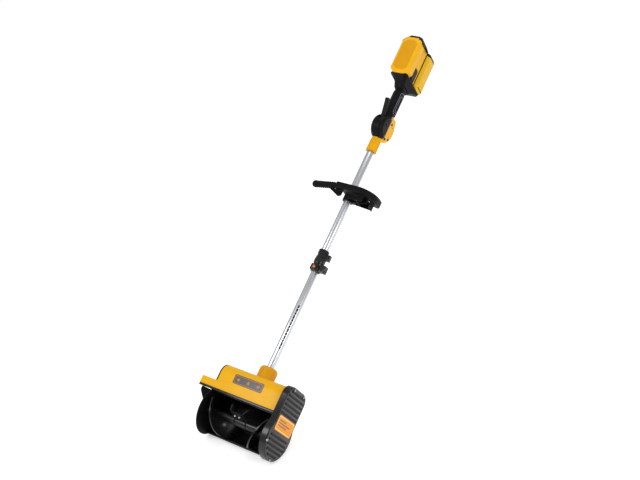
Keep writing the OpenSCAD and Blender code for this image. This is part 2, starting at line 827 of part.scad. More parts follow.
module loop_clamp() {
    color([0.09, 0.09, 0.10]) on_shaft() translate([0, 0, loop_z - bar_r - 2]) difference() {
        union() {
            rod_z(tube_r + clamp_wall, -clamp_h / 2, clamp_h / 2 + bar_r);
            block([-16, -loop_out + bar_r, 2], [16, 0, clamp_h / 2 + bar_r]);
            block([0, clamp_ear[0], -16], [loop_knob_x + 9, clamp_ear[1], 16]);
        }
        rod_z(tube_r + slide_fit, -BIG / 2, BIG / 2);
        block([tube_r - 2, 10.5, -BIG / 2], [BIG, 12.5, BIG / 2]);
        translate([loop_knob_x, 0, 0]) rod_y(stud_r + run_fit, 0, 30);
    }
}
module loop_knob() {
    color([0.06, 0.06, 0.07]) on_shaft() translate([loop_knob_x, 0, loop_z - bar_r - 2]) {
        rod_y(stud_r, 2, 24);
        along_y(clamp_ear[1] + pass_gap, clamp_ear[1] + 10) {
            circle(r = 7);
            for (a = [0 : 60 : 300])
                rotate(a) translate([6.5, 0]) circle(r = 2.4);
        }
    }
}

// ---------- rear handle ----------
split_y = 4;
rear_y0 = -rear_front;
rear_y1 = rear_depth - rear_front;
grip_top = flare_z + 6;
trigger_pin = [0, 40, pod_top - 34];
lever_pin = [0, -28, pod_top - 34];
pin_r = 2.5;
// The pod's two bulges: round plates on the x axis that meet at split_y
module pod_front(inset) {
    along_x(-pod_half + inset, pod_half - inset) intersection() {
        translate([-6, pod_mid]) circle(r = pod_front_r - inset, $fn = 128);
        translate([-BIG, pod_z + inset]) square([BIG + split_y + inset, pod_len - inset]);
    }
}
module pod_rear(inset) {
    along_x(-pod_half + inset + 1, pod_half - inset - 1) intersection() {
        translate([16, pod_mid + 8]) circle(r = pod_rear_r - inset, $fn = 128);
        translate([split_y - inset, pod_z + inset]) square([BIG, pod_len - 4 - 2 * inset]);
    }
}
module rear_grip_solid(inset, z0, z1) {
    translate([0, 0, z0]) linear_extrude(z1 - z0) pill(rear_r - inset, rear_y0 + inset, rear_y1 - inset);
}
module handle_half(side) {
    color([0.10, 0.10, 0.11]) on_shaft() intersection() {
        difference() {
            union() {
                pod_front(0);
                rear_grip_solid(0, pod_top - 30, grip_top);
            }
            pod_front(shell_wall);
            rear_grip_solid(shell_wall, pod_top - 60, grip_top + 1);
            pod_rear(0);
            rod_z(tube_r, pod_z - 1, upper_top + 2);
            // slot of the lock-off lever
            block([-8, -BIG / 4, lever_pin.z - 11], [8, -shell_wall - 12, lever_pin.z + 90]);
            // slot of the trigger
            block([-7.5, 20, trigger_pin.z - 12], [7.5, BIG / 4, trigger_pin.z + 44]);
            translate(lever_pin) rod_x(pin_r, -BIG / 4, BIG / 4);
        }
        block([side < 0 ? -BIG : 0, -BIG, -BIG], [side < 0 ? 0 : BIG, BIG, 10 * BIG]);
    }
}
module handle_left() {
    handle_half(-1);
}
module handle_right() {
    handle_half(1);
}
module grip_panels() {
    proud = 1.2;
    color([0.30, 0.31, 0.33]) on_shaft() for (side = [-1, 1])
        intersection() {
            difference() {
                rear_grip_solid(-proud, pod_top + 8, flare_z - 10);
                rear_grip_solid(0, pod_top, flare_z);
            }
            block([side < 0 ? -BIG : rear_r - 12, rear_y0 + 8, 0],
                [side < 0 ? -rear_r + 12 : BIG, rear_y1 - 6, 10 * BIG]);
        }
}
module pod_rear_shell() {
    color([0.98, 0.75, 0.02]) on_shaft() difference() {
        union() {
            rod_z(collar_r, collar_z, pod_z + shell_wall);
            pod_rear(0);
        }
        rod_z(tube_r, collar_z - 1, upper_top + 2);
        pod_rear(shell_wall);
        pod_front(0);
        // room for the trigger
        block([-7.5, 24, trigger_pin.z - 12], [7.5, BIG / 4, pod_top]);
        rear_grip_solid(shell_wall, pod_top - 60, grip_top + 1);
        translate(trigger_pin) rod_x(pin_r, -BIG / 4, BIG / 4);
    }
}
module housing_screws() {
    color([0.25, 0.25, 0.27]) on_shaft() {
        for (p = [[18, pod_mid + 30], [38, pod_mid - 26], [12, pod_mid - 38]])
            translate([0, p.x, p.y]) screw_x(pod_half - 1, 1);
        for (p = [[-20, pod_mid + 8], [-8, pod_mid - 34]])
            translate([0, p.x, p.y]) screw_x(pod_half, 1);
        for (x = [-lobe_half + 26, lobe_half - 26])
            translate([x, -lobe_front + 24, head_top + cap_h / 2 + 0.2]) rod_z(3.5, 0, 1.5);
    }
}
module control_pins() {
    reach = pod_half - 1;
    color([0.70, 0.71, 0.73]) on_shaft() {
        translate(trigger_pin) rod_x(pin_r, -reach, reach);
        translate(lever_pin) rod_x(pin_r, -reach, reach);
    }
}
module trigger() {
    hub = 7;
    color([0.06, 0.06, 0.07]) on_shaft() translate(trigger_pin) difference() {
        along_x(-6, 6) {
            circle(r = hub);
            polygon([[-1, hub - 1], [6.5, -1], [22, 14], [38, 38], [34, 42], [14, 26]]);
        }
        rod_x(pin_r + run_fit, -8, 8);
    }
}
module trigger_spring() {
    wire = 0.7;
    coil_r = pin_r + wire + 0.05;
    turns = 5;
    pitch = 1.9;
    sides = 8;
    steps = 16 * turns;
    ring = [for (i = [0 : steps], k = [0 : sides - 1])
        let (a = 360 * turns * i / steps, b = 360 * k / sides, r = coil_r + wire * cos(b))
        [turns * pitch * i / steps + wire * sin(b), r * cos(a), r * sin(a)]];
    walls = [for (i = [0 : steps - 1], k = [0 : sides - 1])
        let (a = sides * i + k, b = sides * i + (k + 1) % sides)
        each [[a, b, b + sides], [a, b + sides, a + sides]]];
    ends = [[for (k = [0 : sides - 1]) sides - 1 - k], [for (k = [0 : sides - 1]) sides * steps + k]];
    color([0.75, 0.76, 0.78]) on_shaft() translate(trigger_pin + [6.6 + wire, 0, 0])
        polyhedron(points = ring, faces = concat(walls, ends));
}
module lock_off_lever() {
    hub = 6.5;
    color([0.06, 0.06, 0.07]) on_shaft() translate(lever_pin) difference() {
        along_x(-7, 7) {
            circle(r = hub);
            polygon([[hub - 1, 2], [-5, 34], [-19, 69], [-31, 68], [-17, 30], [-hub + 0.5, 0]]);
            translate([-25, 69]) circle(r = 7.5);
        }
        rod_x(pin_r + run_fit, -9, 9);
    }
}
module switch_module() {
    color([0.25, 0.26, 0.28]) on_shaft() {
        block([-9, 9, pod_top - 24], [9, 27, pod_top + 22]);
        block([-4, 26.9, pod_top - 4], [4, 28.5, pod_top + 6]);
        block([-rear_r + shell_wall, 13, pod_top + 6], [rear_r - shell_wall, 16, pod_top + 14]);
    }
}

// ---------- power head ----------
dock_y = stator_r + head_wall + 0.2;
battery_y0 = dock_y + 8;
battery_y1 = battery_y0 + battery_depth;
// A thin slice of the lobe's outline in (x, z), for hulls
module lobe_slice(y, inset) {
    along_y(y, y + 0.2)
        cut_box(lobe_half - inset, head_z - 6 + inset, head_top - inset, lobe_cut - inset / 2);
}
module lobe_solid(inset) {
    hull() {
        lobe_slice(-lobe_front + inset, lobe_edge + inset);
        lobe_slice(-lobe_front + lobe_edge, inset);
        lobe_slice(-lobe_back - 0.2, inset);
    }
}
module front_cover() {
    color([0.98, 0.72, 0.02]) on_shaft() difference() {
        lobe_solid(0);
        intersection() {
            lobe_solid(head_wall);
            block([-BIG, -BIG, 0], [BIG, BIG, 10 * BIG]);
        }
        block([-lobe_half + 6, -lobe_back - 3, head_z], [lobe_half - 6, -lobe_back + 1, head_top - 12]);
        flare_solid(0);
        cap_solid(0);
    }
}
module flare_solid(inset) {
    hull() {
        translate([0, 0, flare_z]) linear_extrude(0.2)
            pill(rear_r - inset, rear_y0 + inset, rear_y1 - inset);
        translate([0, 0, head_z - 6]) linear_extrude(0.2)
            cut_box(lobe_half - 4 - inset, -lobe_front + 8 + inset,
                battery_y1 - 6 - inset, 14);
    }
    translate([0, 0, head_z - 6]) linear_extrude(6 - inset)
        cut_box(lobe_half - 4 - inset, -lobe_front + 8 + inset, battery_y1 - 6 - inset, 14);
}
module head_base() {
    color([0.08, 0.08, 0.09]) on_shaft() difference() {
        flare_solid(0);
        flare_solid(shell_wall);
        rear_grip_solid(0, flare_z - 10, grip_top);
        rod_z(10, flare_z, head_z + 10);
    }
}
module core_outline(inset) {
    translate([-channel_half + inset, -lobe_back + inset])
        square([2 * channel_half - 2 * inset, lobe_back + dock_y - 2 * inset]);
}
module head_core() {
    color([0.98, 0.75, 0.02]) on_shaft() difference() {
        translate([0, 0, head_z]) linear_extrude(lobe_len - 8) core_outline(0);
        difference() {
            translate([0, 0, head_z + head_wall]) linear_extrude(lobe_len) core_outline(head_wall);
            // the two walls that hold the motor's bearings
            for (z = motor_bearing_z)
                translate([0, 0, z]) linear_extrude(bearing_w) core_outline(0);
        }
        rod_z(drive_bearing_r, head_z - 1, head_top);
    }
}
module cap_solid(inset) {
    hull() {
        translate([0, 0, head_top - 8]) linear_extrude(0.2)
            cut_box(lobe_half - 2 - inset, -lobe_front + 4 + inset, dock_y - inset, 12);
        translate([0, 0, head_top + cap_h / 2 - inset]) linear_extrude(0.2)
            cut_box(lobe_half - 14 - inset, -lobe_front + 12 + inset, dock_y - 8 - inset, 10);
    }
}
module end_cap() {
    vent_w = 2.5;
    color([0.07, 0.07, 0.08]) on_shaft() difference() {
        cap_solid(0);
        translate([0, 0, -0.5]) cap_solid(head_wall);
        for (i = [-4 : 4])
            translate([i * 5.5, -14, head_top - 10])
                block([-vent_w / 2, -12, 0], [vent_w / 2, 12, BIG / 4]);
    }
}
module controller_board() {
    color([0.05, 0.32, 0.18]) on_shaft() {
        block([-lobe_half + 14, -lobe_back - 8, head_z + 14], [lobe_half - 14, -lobe_back - 6, head_top - 24]);
        for (i = [0 : 5])
            block([-20 + 7 * i, -lobe_back - 14, head_z + 24], [-15 + 7 * i, -lobe_back - 8, head_z + 40]);
        for (x = [-14, 6])
            translate([x, 0, head_z + 70]) rod_y(7, -lobe_back - 26, -lobe_back - 8);
        for (x = [-22, 22], z = [head_z + 20, head_top - 30])
            translate([x, 0, z]) rod_y(2.5, -lobe_back - 6, -lobe_back);
    }
}
rail_in = 16;
module battery_dock() {
    color([0.08, 0.08, 0.09]) on_shaft() {
        block([-channel_half, dock_y, head_z + 2], [channel_half, dock_y + 3, head_top - 10]);
        for (side = [-1, 1])
            block([side < 0 ? -channel_half : rail_in, dock_y + 3, head_z + 2],
                [side < 0 ? -rail_in : channel_half, battery_y0 - pass_gap, head_top - 10]);
        for (x = [-9, -3, 3, 9])
            block([x - 0.5, dock_y + 3, head_z + 2], [x + 0.5, dock_y + 6, head_z + 26]);
    }
}
motor_z = head_z + 40;
motor_bearing_z = [motor_z - 12, motor_z + stator_len + 4];
shaft_end = motor_z + stator_len + 30;
module stator() {
    pole_n = 12;
    bore_r = stator_r - 9;
    color([0.72, 0.42, 0.18]) on_shaft() translate([0, 0, motor_z]) linear_extrude(stator_len)
        difference() {
            circle(r = stator_r, $fn = 96);
            circle(r = bore_r, $fn = 96);
            for (i = [0 : pole_n - 1])
                rotate(360 * i / pole_n) translate([bore_r - 1, -1.2]) square([6.5, 2.4]);
        }
}
module rotor() {
    color([0.45, 0.46, 0.48]) on_shaft()
        ring_z(stator_r - 9.6, drive_r, motor_z + 2, motor_z + stator_len - 2);
}
module motor_shaft() {
    color([0.70, 0.71, 0.73]) on_shaft() rod_z(drive_r, motor_z - 24, shaft_end);
}
module upper_bearings() {
    color([0.72, 0.73, 0.75]) on_shaft() {
        for (z = motor_bearing_z)
            ring_z(drive_bearing_r, drive_r + run_fit, z, z + bearing_w);
        for (z = [upper_foot + 130, upper_top - 60])
            ring_z(tube_r - tube_wall, drive_r + run_fit, z, z + 14);
    }
}
module cooling_fan() {
    blades = 9;
    z0 = motor_z + stator_len + 15;
    color([0.16, 0.17, 0.19]) on_shaft() translate([0, 0, z0]) difference() {
        union() {
            rod_z(8, 0, 12);
            rod_z(stator_r - 2, 0, 2);
            for (i = [0 : blades - 1])
                rotate(360 * i / blades) block([6, -0.8, 1], [stator_r - 2, 0.8, 12]);
        }
        rod_z(drive_r, -1, 20);
    }
}
module upper_drive_shaft() {
    foot = lower_top + 3;
    color([0.66, 0.67, 0.70]) on_shaft() difference() {
        union() {
            rod_z(drive_r, foot + 10, motor_z - 24);
            rod_z(key_socket_r, foot, foot + key_len + 10);
        }
        block([-key_half - 0.3, -key_half - 0.3, foot - 1],
            [key_half + 0.3, key_half + 0.3, foot + key_len + 2]);
    }
}
module battery_outline(inset) {
    cut_box(lobe_half - inset, battery_y0 + inset, battery_y1 - inset, 12 - inset / 2);
}
battery_wall = 4;
battery_z = head_z + 1;
battery_top = head_top - 10;
module battery_case() {
    color([0.98, 0.76, 0.05]) on_shaft() difference() {
        union() {
            hull() {
                translate([0, 0, battery_z]) linear_extrude(0.2) battery_outline(7);
                translate([0, 0, battery_z + 9]) linear_extrude(0.2) battery_outline(0);
                translate([0, 0, battery_top]) linear_extrude(0.2) battery_outline(0);
            }
            block([-rail_in + pass_gap, dock_y + 3 + pass_gap, battery_z + 32],
                [rail_in - pass_gap, battery_y0 + 1, battery_top]);
        }
        translate([0, 0, battery_z + 12]) linear_extrude(battery_top) battery_outline(battery_wall);
    }
}
module battery_cap() {
    color([0.07, 0.07, 0.08]) on_shaft() difference() {
        hull() {
            translate([0, 0, battery_top + 0.2]) linear_extrude(0.2) battery_outline(0);
            translate([0, 0, battery_top + cap_h / 2]) linear_extrude(0.2) battery_outline(3);
            translate([0, 0, battery_top + cap_h]) linear_extrude(0.2) battery_outline(14);
        }
        block([-12, battery_y1 - 9.4, battery_top], [12, battery_y1 + 1, battery_top + 9]);
    }
}
module battery_cells() {
    cell_r = 10.2;
    cell_len = 64;
    pitch_x = 22.5;
    pitch_y = 21.2;
    mid_y = (battery_y0 + battery_y1) / 2 - 0.5;
    color([0.15, 0.35, 0.62]) on_shaft() for (ix = [-1 : 1], iy = [-1 : 1], iz = [0 : 1])
        translate([ix * pitch_x, mid_y + iy * pitch_y, battery_z + 12 + iz * cell_len])
            rod_z(cell_r, 0, cell_len);
}
module battery_latch() {
    color([0.60, 0.10, 0.05]) on_shaft()
        block([-12 + pass_gap, battery_y1 - 6, battery_top + pass_gap],
            [12 - pass_gap, battery_y1 - 0.5, battery_top + 9 - pass_gap]);
}

scoop_shell();
scraper();
left_side();
drive_plate();
hood();
lip_trim();
belt_cover();
cover_label();
neck_cover();
gearbox_left();
gearbox_right();
lower_bearings();
drive_belt();
attachment_screws();
lower_tube();
auger_axle();
auger_hub();
auger_flights();
centre_paddle();
shear_bolt();
large_pulley();
cross_shaft();
crown_gear();
small_pulley();
lower_drive_shaft();
drive_pinion();
upper_tube();
coupler_body();
coupler_knob();
coupler_button();
loop_frame();
loop_grip();
loop_clamp();
loop_knob();
handle_left();
handle_right();
grip_panels();
pod_rear_shell();
housing_screws();
trigger();
trigger_spring();
control_pins();
lock_off_lever();
switch_module();
head_base();
head_core();
front_cover();
end_cap();
controller_board();
battery_dock();
upper_bearings();
stator();
rotor();
motor_shaft();
cooling_fan();
upper_drive_shaft();
battery_case();
battery_cap();
battery_cells();
battery_latch();
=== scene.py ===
import json
import math

import bmesh
import bpy
from mathutils import Matrix, Vector


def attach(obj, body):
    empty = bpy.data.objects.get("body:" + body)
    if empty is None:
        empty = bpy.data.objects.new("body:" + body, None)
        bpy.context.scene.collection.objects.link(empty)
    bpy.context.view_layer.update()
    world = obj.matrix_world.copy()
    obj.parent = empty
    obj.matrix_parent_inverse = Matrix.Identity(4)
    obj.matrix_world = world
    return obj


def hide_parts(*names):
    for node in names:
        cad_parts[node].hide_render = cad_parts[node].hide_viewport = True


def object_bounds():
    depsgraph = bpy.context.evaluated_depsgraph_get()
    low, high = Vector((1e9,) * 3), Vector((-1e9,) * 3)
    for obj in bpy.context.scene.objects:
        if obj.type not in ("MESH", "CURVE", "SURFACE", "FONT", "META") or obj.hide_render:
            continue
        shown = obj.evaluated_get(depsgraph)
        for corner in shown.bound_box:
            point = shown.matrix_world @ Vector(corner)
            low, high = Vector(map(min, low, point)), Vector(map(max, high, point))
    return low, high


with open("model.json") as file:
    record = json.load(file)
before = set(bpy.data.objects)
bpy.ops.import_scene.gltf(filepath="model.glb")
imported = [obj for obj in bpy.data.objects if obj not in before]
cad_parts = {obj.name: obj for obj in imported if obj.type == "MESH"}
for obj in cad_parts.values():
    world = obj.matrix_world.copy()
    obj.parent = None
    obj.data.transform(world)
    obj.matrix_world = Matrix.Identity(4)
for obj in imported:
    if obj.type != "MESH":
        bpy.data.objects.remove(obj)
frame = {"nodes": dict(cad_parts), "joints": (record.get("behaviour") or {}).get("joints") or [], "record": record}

bl_info = {
    "name": "Battery snow shovel",
    "version": (1, 0, 0),
    "blender": (4, 5, 0),
    "location": "3D View > Sidebar > Snow shovel",
    "description": "Gives a packed battery snow shovel its finished mouldings, fittings and surfaces",
    "category": "Object",
}

MM = 0.001
# Corner radius of a bar, as a share of its thinner side
BAR_CORNER = 0.45
# How much the pod's and the cup's sections draw in at their narrowest
CROWN = 0.24
CAD_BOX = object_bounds()
JOINTS = {joint["name"]: joint for joint in frame["joints"]}

# The shaft's own axes: across the shovel, towards the user's side, and up the tube
ACROSS = Vector((1, 0, 0))
UP = Vector(JOINTS["lower_spin"]["axis"]).normalized()
BACK = UP.cross(ACROSS).normalized()
AXLE = Vector(JOINTS["auger_spin"]["pos_m"])
AXLE_Y = (AXLE - Vector(JOINTS["lower_spin"]["pos_m"])).dot(BACK)
SHAFT = Matrix((ACROSS, BACK, UP)).transposed().to_4x4()
SHAFT.translation = Vector((0, AXLE.y, AXLE.z)) - BACK * AXLE_Y
FROM_SHAFT = SHAFT.inverted()
# Lays what stands along z along x
TO_X = Matrix.Rotation(math.radians(90), 4, "Y")


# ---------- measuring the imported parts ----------

def shaft_points(node):
    """The node's vertices in the shaft's axes."""
    return [FROM_SHAFT @ v.co for v in frame["nodes"][node].data.vertices]


def span(node):
    """Lowest and highest corner of a node in the shaft's axes."""
    points = shaft_points(node)
    return (Vector([min(p[i] for p in points) for i in range(3)]),
            Vector([max(p[i] for p in points) for i in range(3)]))


def merged(node):
    """A bmesh of the node in the shaft's axes, with its loose triangles joined."""
    shape = bmesh.new()
    shape.from_mesh(frame["nodes"][node].data)
    bmesh.ops.remove_doubles(shape, verts=shape.verts, dist=2e-6)
    bmesh.ops.transform(shape, matrix=FROM_SHAFT, verts=shape.verts)
    return shape


def loose_boxes(node):
    """Lowest and highest corner of each separate solid in a node, in the shaft's axes."""
    shape = merged(node)
    waiting = set(shape.verts)
    boxes = []
    while waiting:
        group, edge = [], [waiting.pop()]
        while edge:
            vert = edge.pop()
            group.append(vert.co.copy())
            for link in vert.link_edges:
                other = link.other_vert(vert)
                if other in waiting:
                    waiting.remove(other)
                    edge.append(other)
        boxes.append((Vector([min(p[i] for p in group) for i in range(3)]),
                      Vector([max(p[i] for p in group) for i in range(3)])))
    shape.free()
    return boxes


# ---------- node helpers ----------

def feed(tree, node, inputs):
    """Links or sets a node's inputs."""
    for key, value in inputs.items():
        socket = node.inputs[key]
        if isinstance(value, bpy.types.Node):
            value = value.outputs[0]
        if isinstance(value, bpy.types.NodeSocket):
            tree.links.new(value, socket)
        else:
            socket.default_value = value


def grow(tree, kind, inputs=None, **settings):
    """Adds one node with its settings, and links or sets its inputs."""
    node = tree.nodes.new(kind)
    for key, value in settings.items():
        setattr(node, key, value)
    feed(tree, node, inputs or {})
    return node


def linear(code):
    """An sRGB hex colour as linear RGBA."""
    parts = [int(code[i:i + 2], 16) / 255 for i in (1, 3, 5)]
    return [p / 12.92 if p <= 0.04045 else ((p + 0.055) / 1.055) ** 2.4 for p in parts] + [1.0]


MATERIALS = {}


def shop(name):
    """A new material with its node tree, the pattern's coordinates in the shaft's axes, and its shader."""
    material = bpy.data.materials.new(name)
    material.use_nodes = True
    tree = material.node_tree
    tree.nodes.clear()
    where = grow(tree, "ShaderNodeMapping", {
        "Vector": grow(tree, "ShaderNodeTexCoord").outputs["Object"],
        "Location": FROM_SHAFT.translation, "Rotation": FROM_SHAFT.to_euler()})
    shader = grow(tree, "ShaderNodeBsdfPrincipled")
    grow(tree, "ShaderNodeOutputMaterial", {"Surface": shader.outputs["BSDF"]})
    MATERIALS[name] = material
    return tree, where, shader


def noise(tree, where, size, detail):
    """The strength of a cloudy pattern with marks of size mm."""
    return grow(tree, "ShaderNodeTexNoise", {
        "Vector": where, "Scale": 1 / (size * MM), "Detail": detail}).outputs["Fac"]


def blend(tree, share, dark, light):
    """A colour that goes from dark to light with share."""
    mix = grow(tree, "ShaderNodeMix", {0: share, 6: linear(dark), 7: linear(light)}, data_type="RGBA")
    return mix.outputs[2]


def uneven(tree, pattern, reach, low, high):
    """A gloss that goes from low to high over the middle of a pattern, reach each side of its mean."""
    return grow(tree, "ShaderNodeMapRange", {
        "Value": pattern, "From Min": 0.5 - reach, "From Max": 0.5 + reach, "To Min": low, "To Max": high})


def moulded(name, light, dark, rough, grain, depth, coat=0.0, shine=0.5):
    """A moulded or painted surface: a spark-eroded grain of grain mm and depth mm,
    a slow drift of colour, and flow in the gloss."""
    tree, where, shader = shop(name)
    drift = noise(tree, where, 38, 4.0)
    skin = noise(tree, where, grain, 2.0)
    feed(tree, shader, {
        "Base Color": blend(tree, drift, dark, light),
        "Roughness": uneven(tree, skin, 0.2, rough - 0.05, rough + 0.06),
        "Normal": grow(tree, "ShaderNodeBump", {"Height": skin, "Strength": 0.5, "Distance": depth * MM}),
        "IOR": 1.5, "Specular IOR Level": shine, "Coat Weight": coat, "Coat Roughness": 0.12})


def metal(name, light, dark, rough, grain, stretch):
    """A metal with marks of grain mm, drawn out along the shaft's axes by stretch."""
    tree, where, shader = shop(name)
    drawn = grow(tree, "ShaderNodeVectorMath", {0: where, 1: stretch}, operation="MULTIPLY")
    marks = noise(tree, drawn, grain, 3.0)
    feed(tree, shader, {
        "Base Color": blend(tree, marks, dark, light),
        "Roughness": uneven(tree, marks, 0.25, rough - 0.06, rough + 0.1),
        "Normal": grow(tree, "ShaderNodeBump", {"Height": marks, "Strength": 0.25, "Distance": 0.05 * MM}),
        "Metallic": 1.0})


def make_materials(colours):
    """Every finish on the shovel."""
    # Moulded ABS, semi-gloss: strong yellow with soft broad highlights
    moulded("abs_yellow_semi_gloss", colours.yellow, "#DDA200", 0.38, 1.1, 0.05, coat=0.03, shine=0.2)
    # The neck and the deeper recesses get the same ABS in a darker amber: painted shade
    moulded("abs_yellow_painted_shade", "#D79803", "#C98C01", 0.42, 1.1, 0.05, shine=0.15)
    # Pale flanks of the battery: the same ABS with a lighter, duller etch
    moulded("abs_pale_yellow", "#E4B428", "#D8A719", 0.42, 0.9, 0.06, shine=0.2)
    # Polypropylene, high gloss: the scoop's inside, which picks up curved highlights
    moulded("polypropylene_black_gloss", "#121214", "#09090A", 0.27, 2.6, 0.05, coat=0.08, shine=0.3)
    # Glass-filled nylon, fine spark-eroded texture: near-black with a grey bloom
    moulded("nylon_black_fine_texture", colours.black, "#09090B", 0.42, 0.8, 0.12, shine=0.1)
    # The same nylon polished on its rims
    moulded("nylon_black_polished", "#111113", "#09090B", 0.25, 2.2, 0.03, coat=0.1, shine=0.35)
    # Glass-filled nylon in charcoal for the belt cover and its ribs
    moulded("nylon_charcoal_texture", "#141418", "#0E0E11", 0.46, 0.9, 0.14, shine=0.14)
    # Thermoplastic rubber overmould: soft, dull, with a fine pebble
    moulded("rubber_overmould", "#131315", "#0C0C0E", 0.68, 1.2, 0.35, shine=0.12)
    # Light grey overmould lines
    moulded("rubber_light_grey", "#8E9196", "#7B7E84", 0.6, 0.9, 0.1)
    # Neoprene belt: matt, with a coarse cloth feel
    moulded("neoprene_matt", "#1B1B1B", "#111111", 0.8, 1.0, 0.25)
    # Printed polyester film: flat orange-yellow ink under a satin laminate
    moulded("polyester_film_orange", colours.label, "#DC860C", 0.35, 3.0, 0.02, coat=0.08, shine=0.2)
    moulded("polyester_film_cream", "#F7D98A", "#EEC968", 0.35, 3.0, 0.02, coat=0.3)
    moulded("polyester_film_black", "#1D1B19", "#121110", 0.33, 3.0, 0.02, coat=0.3)
    # Wear strip: harder polyethylene in a mid grey, lighter than the scoop, with a fine mottle
    moulded("polyethylene_wear_strip", "#3A3A3D", "#232326", 0.55, 1.6, 0.3)
    # Acetal: smooth waxy engineering plastic
    moulded("acetal_grey", "#4A4B50", "#37383C", 0.4, 1.4, 0.05)
    moulded("abs_orange_button", "#D9660F", "#C4560A", 0.35, 1.0, 0.05, coat=0.2)
    moulded("abs_red_latch", "#A81E12", "#8E160C", 0.35, 1.0, 0.05, coat=0.2)
    # Heat-shrink sleeve: thin glossy film drawn tight round each cell
    moulded("shrink_sleeve_blue", "#2C66B8", "#1F4F98", 0.25, 4.0, 0.04, coat=0.4)
    # Epoxy glass board under green solder mask
    moulded("solder_mask_green", "#0F5B35", "#0A4427", 0.3, 2.0, 0.04, coat=0.5)
    moulded("epoxy_component_black", "#202022", "#151517", 0.45, 1.0, 0.05)
    # Anodised aluminium tube: drawn lines along its length, satin
    metal("aluminium_drawn_satin", "#D6D8DC", "#B4B7BD", 0.27, 1.6, (1, 1, 0.02))
    # Die-cast aluminium: blasted, with a coarse sandy bloom
    metal("aluminium_die_cast", "#B4B6BA", "#8D9095", 0.48, 1.4, (1, 1, 1))
    # Ground bearing steel: fine rings round the axis
    metal("steel_ground", "#D2D3D6", "#AEB0B5", 0.2, 0.8, (1, 1, 6))
    # Zinc-plated screws: bright, slightly blue, mottled
    metal("steel_zinc_plated", "#C3C8CF", "#9A9FA8", 0.3, 1.2, (1, 1, 1))
    # Black oxide screws
    metal("steel_black_oxide", "#55565A", "#3A3B3F", 0.42, 1.0, (1, 1, 1))
    # Hobbed gear steel, oiled
    metal("steel_cut_gear", "#8F9196", "#6C6E73", 0.32, 0.8, (6, 1, 1))
    # Enamelled copper wire
    metal("copper_enamelled", "#C77A3E", "#94501F", 0.28, 0.9, (1, 1, 8))
    # Stacked electrical steel, its edges showing as fine lines
    metal("steel_laminated", "#77797E", "#4E5055", 0.45, 0.5, (0.1, 0.1, 6))
    metal("nickel_strip", "#C9C7BE", "#A7A59C", 0.3, 1.0, (1, 1, 1))


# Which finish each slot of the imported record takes
SLOT_FINISH = {
    "scoop_black": "polypropylene_black_gloss", "hood_yellow": "abs_yellow_semi_gloss",
    "trim_black": "nylon_black_polished", "cover_black": "nylon_charcoal_texture",
    "label_orange": "polyester_film_orange", "gearbox_metal": "aluminium_die_cast",
    "bearing_steel": "steel_ground", "belt_rubber": "neoprene_matt",
    "screw_steel": "steel_zinc_plated", "tube_aluminium": "aluminium_drawn_satin",
    "shaft_steel": "steel_ground", "auger_black": "polypropylene_black_gloss",
    "pulley_grey": "acetal_grey", "gear_steel": "steel_cut_gear",
    "coupler_black": "nylon_black_fine_texture", "knob_black": "nylon_black_polished",
    "button_orange": "abs_orange_button", "loop_black": "nylon_black_fine_texture",
    "grip_rubber": "rubber_overmould", "handle_black": "nylon_black_fine_texture",
    "pod_yellow": "abs_yellow_semi_gloss", "battery_yellow": "abs_pale_yellow",
    "latch_red": "abs_red_latch", "switch_grey": "acetal_grey",
    "board_green": "solder_mask_green", "stator_copper": "steel_laminated",
    "rotor_steel": "steel_laminated", "fan_grey": "acetal_grey", "cell_blue": "shrink_sleeve_blue",
}
BODY_OF = {node: body for body, nodes in frame["record"]["behaviour"]["bodies"].items() for node in nodes}
SLOT_OF = {part["node"]: part["material_slot"] for part in frame["record"]["subparts"]}


def paint(obj, finish):
    obj.data.materials.clear()
    obj.data.materials.append(MATERIALS[finish])


def paint_nodes():
    """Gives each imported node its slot's finish, without touching its mesh."""
    for node, obj in frame["nodes"].items():
        finish = MATERIALS[SLOT_FINISH[SLOT_OF[node]]]
        while len(obj.material_slots) < 1:
            obj.data.materials.append(finish)
        for place in obj.material_slots:
            place.link = "OBJECT"
            place.material = finish


# ---------- making pieces ----------

def piece(name, shape, place=SHAFT):
    """A new object from a bmesh in the shaft's axes, moved into the part's frame."""
    mesh = bpy.data.meshes.new(name)
    shape.to_mesh(mesh)
    shape.free()
    if place is not None:
        mesh.transform(place)
    obj = bpy.data.objects.new(name, mesh)
    bpy.context.scene.collection.objects.link(obj)
    return obj


def baked(obj):
    """The object with its modifiers worked into a plain mesh."""
    bpy.context.view_layer.update()
    result = bpy.data.meshes.new_from_object(obj.evaluated_get(bpy.context.evaluated_depsgraph_get()))
    obj.modifiers.clear()
    obj.data = result
    return obj


def smooth(obj, angle=34):
    """Smooth shading that breaks at edges sharper than angle degrees."""
    shape = bmesh.new()
    shape.from_mesh(obj.data)
    for face in shape.faces:
        face.smooth = True
    for edge in shape.edges:
        edge.smooth = edge.is_manifold and edge.calc_face_angle(0) < math.radians(angle)
    shape.to_mesh(obj.data)
    shape.free()
    return obj


def settle(obj, body, slot, finish, *nodes):
    """Paints a piece, makes it ride on its body and lets it stand for its nodes."""
    paint(obj, finish)
    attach(obj, body)
    if nodes:
        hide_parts(*nodes)


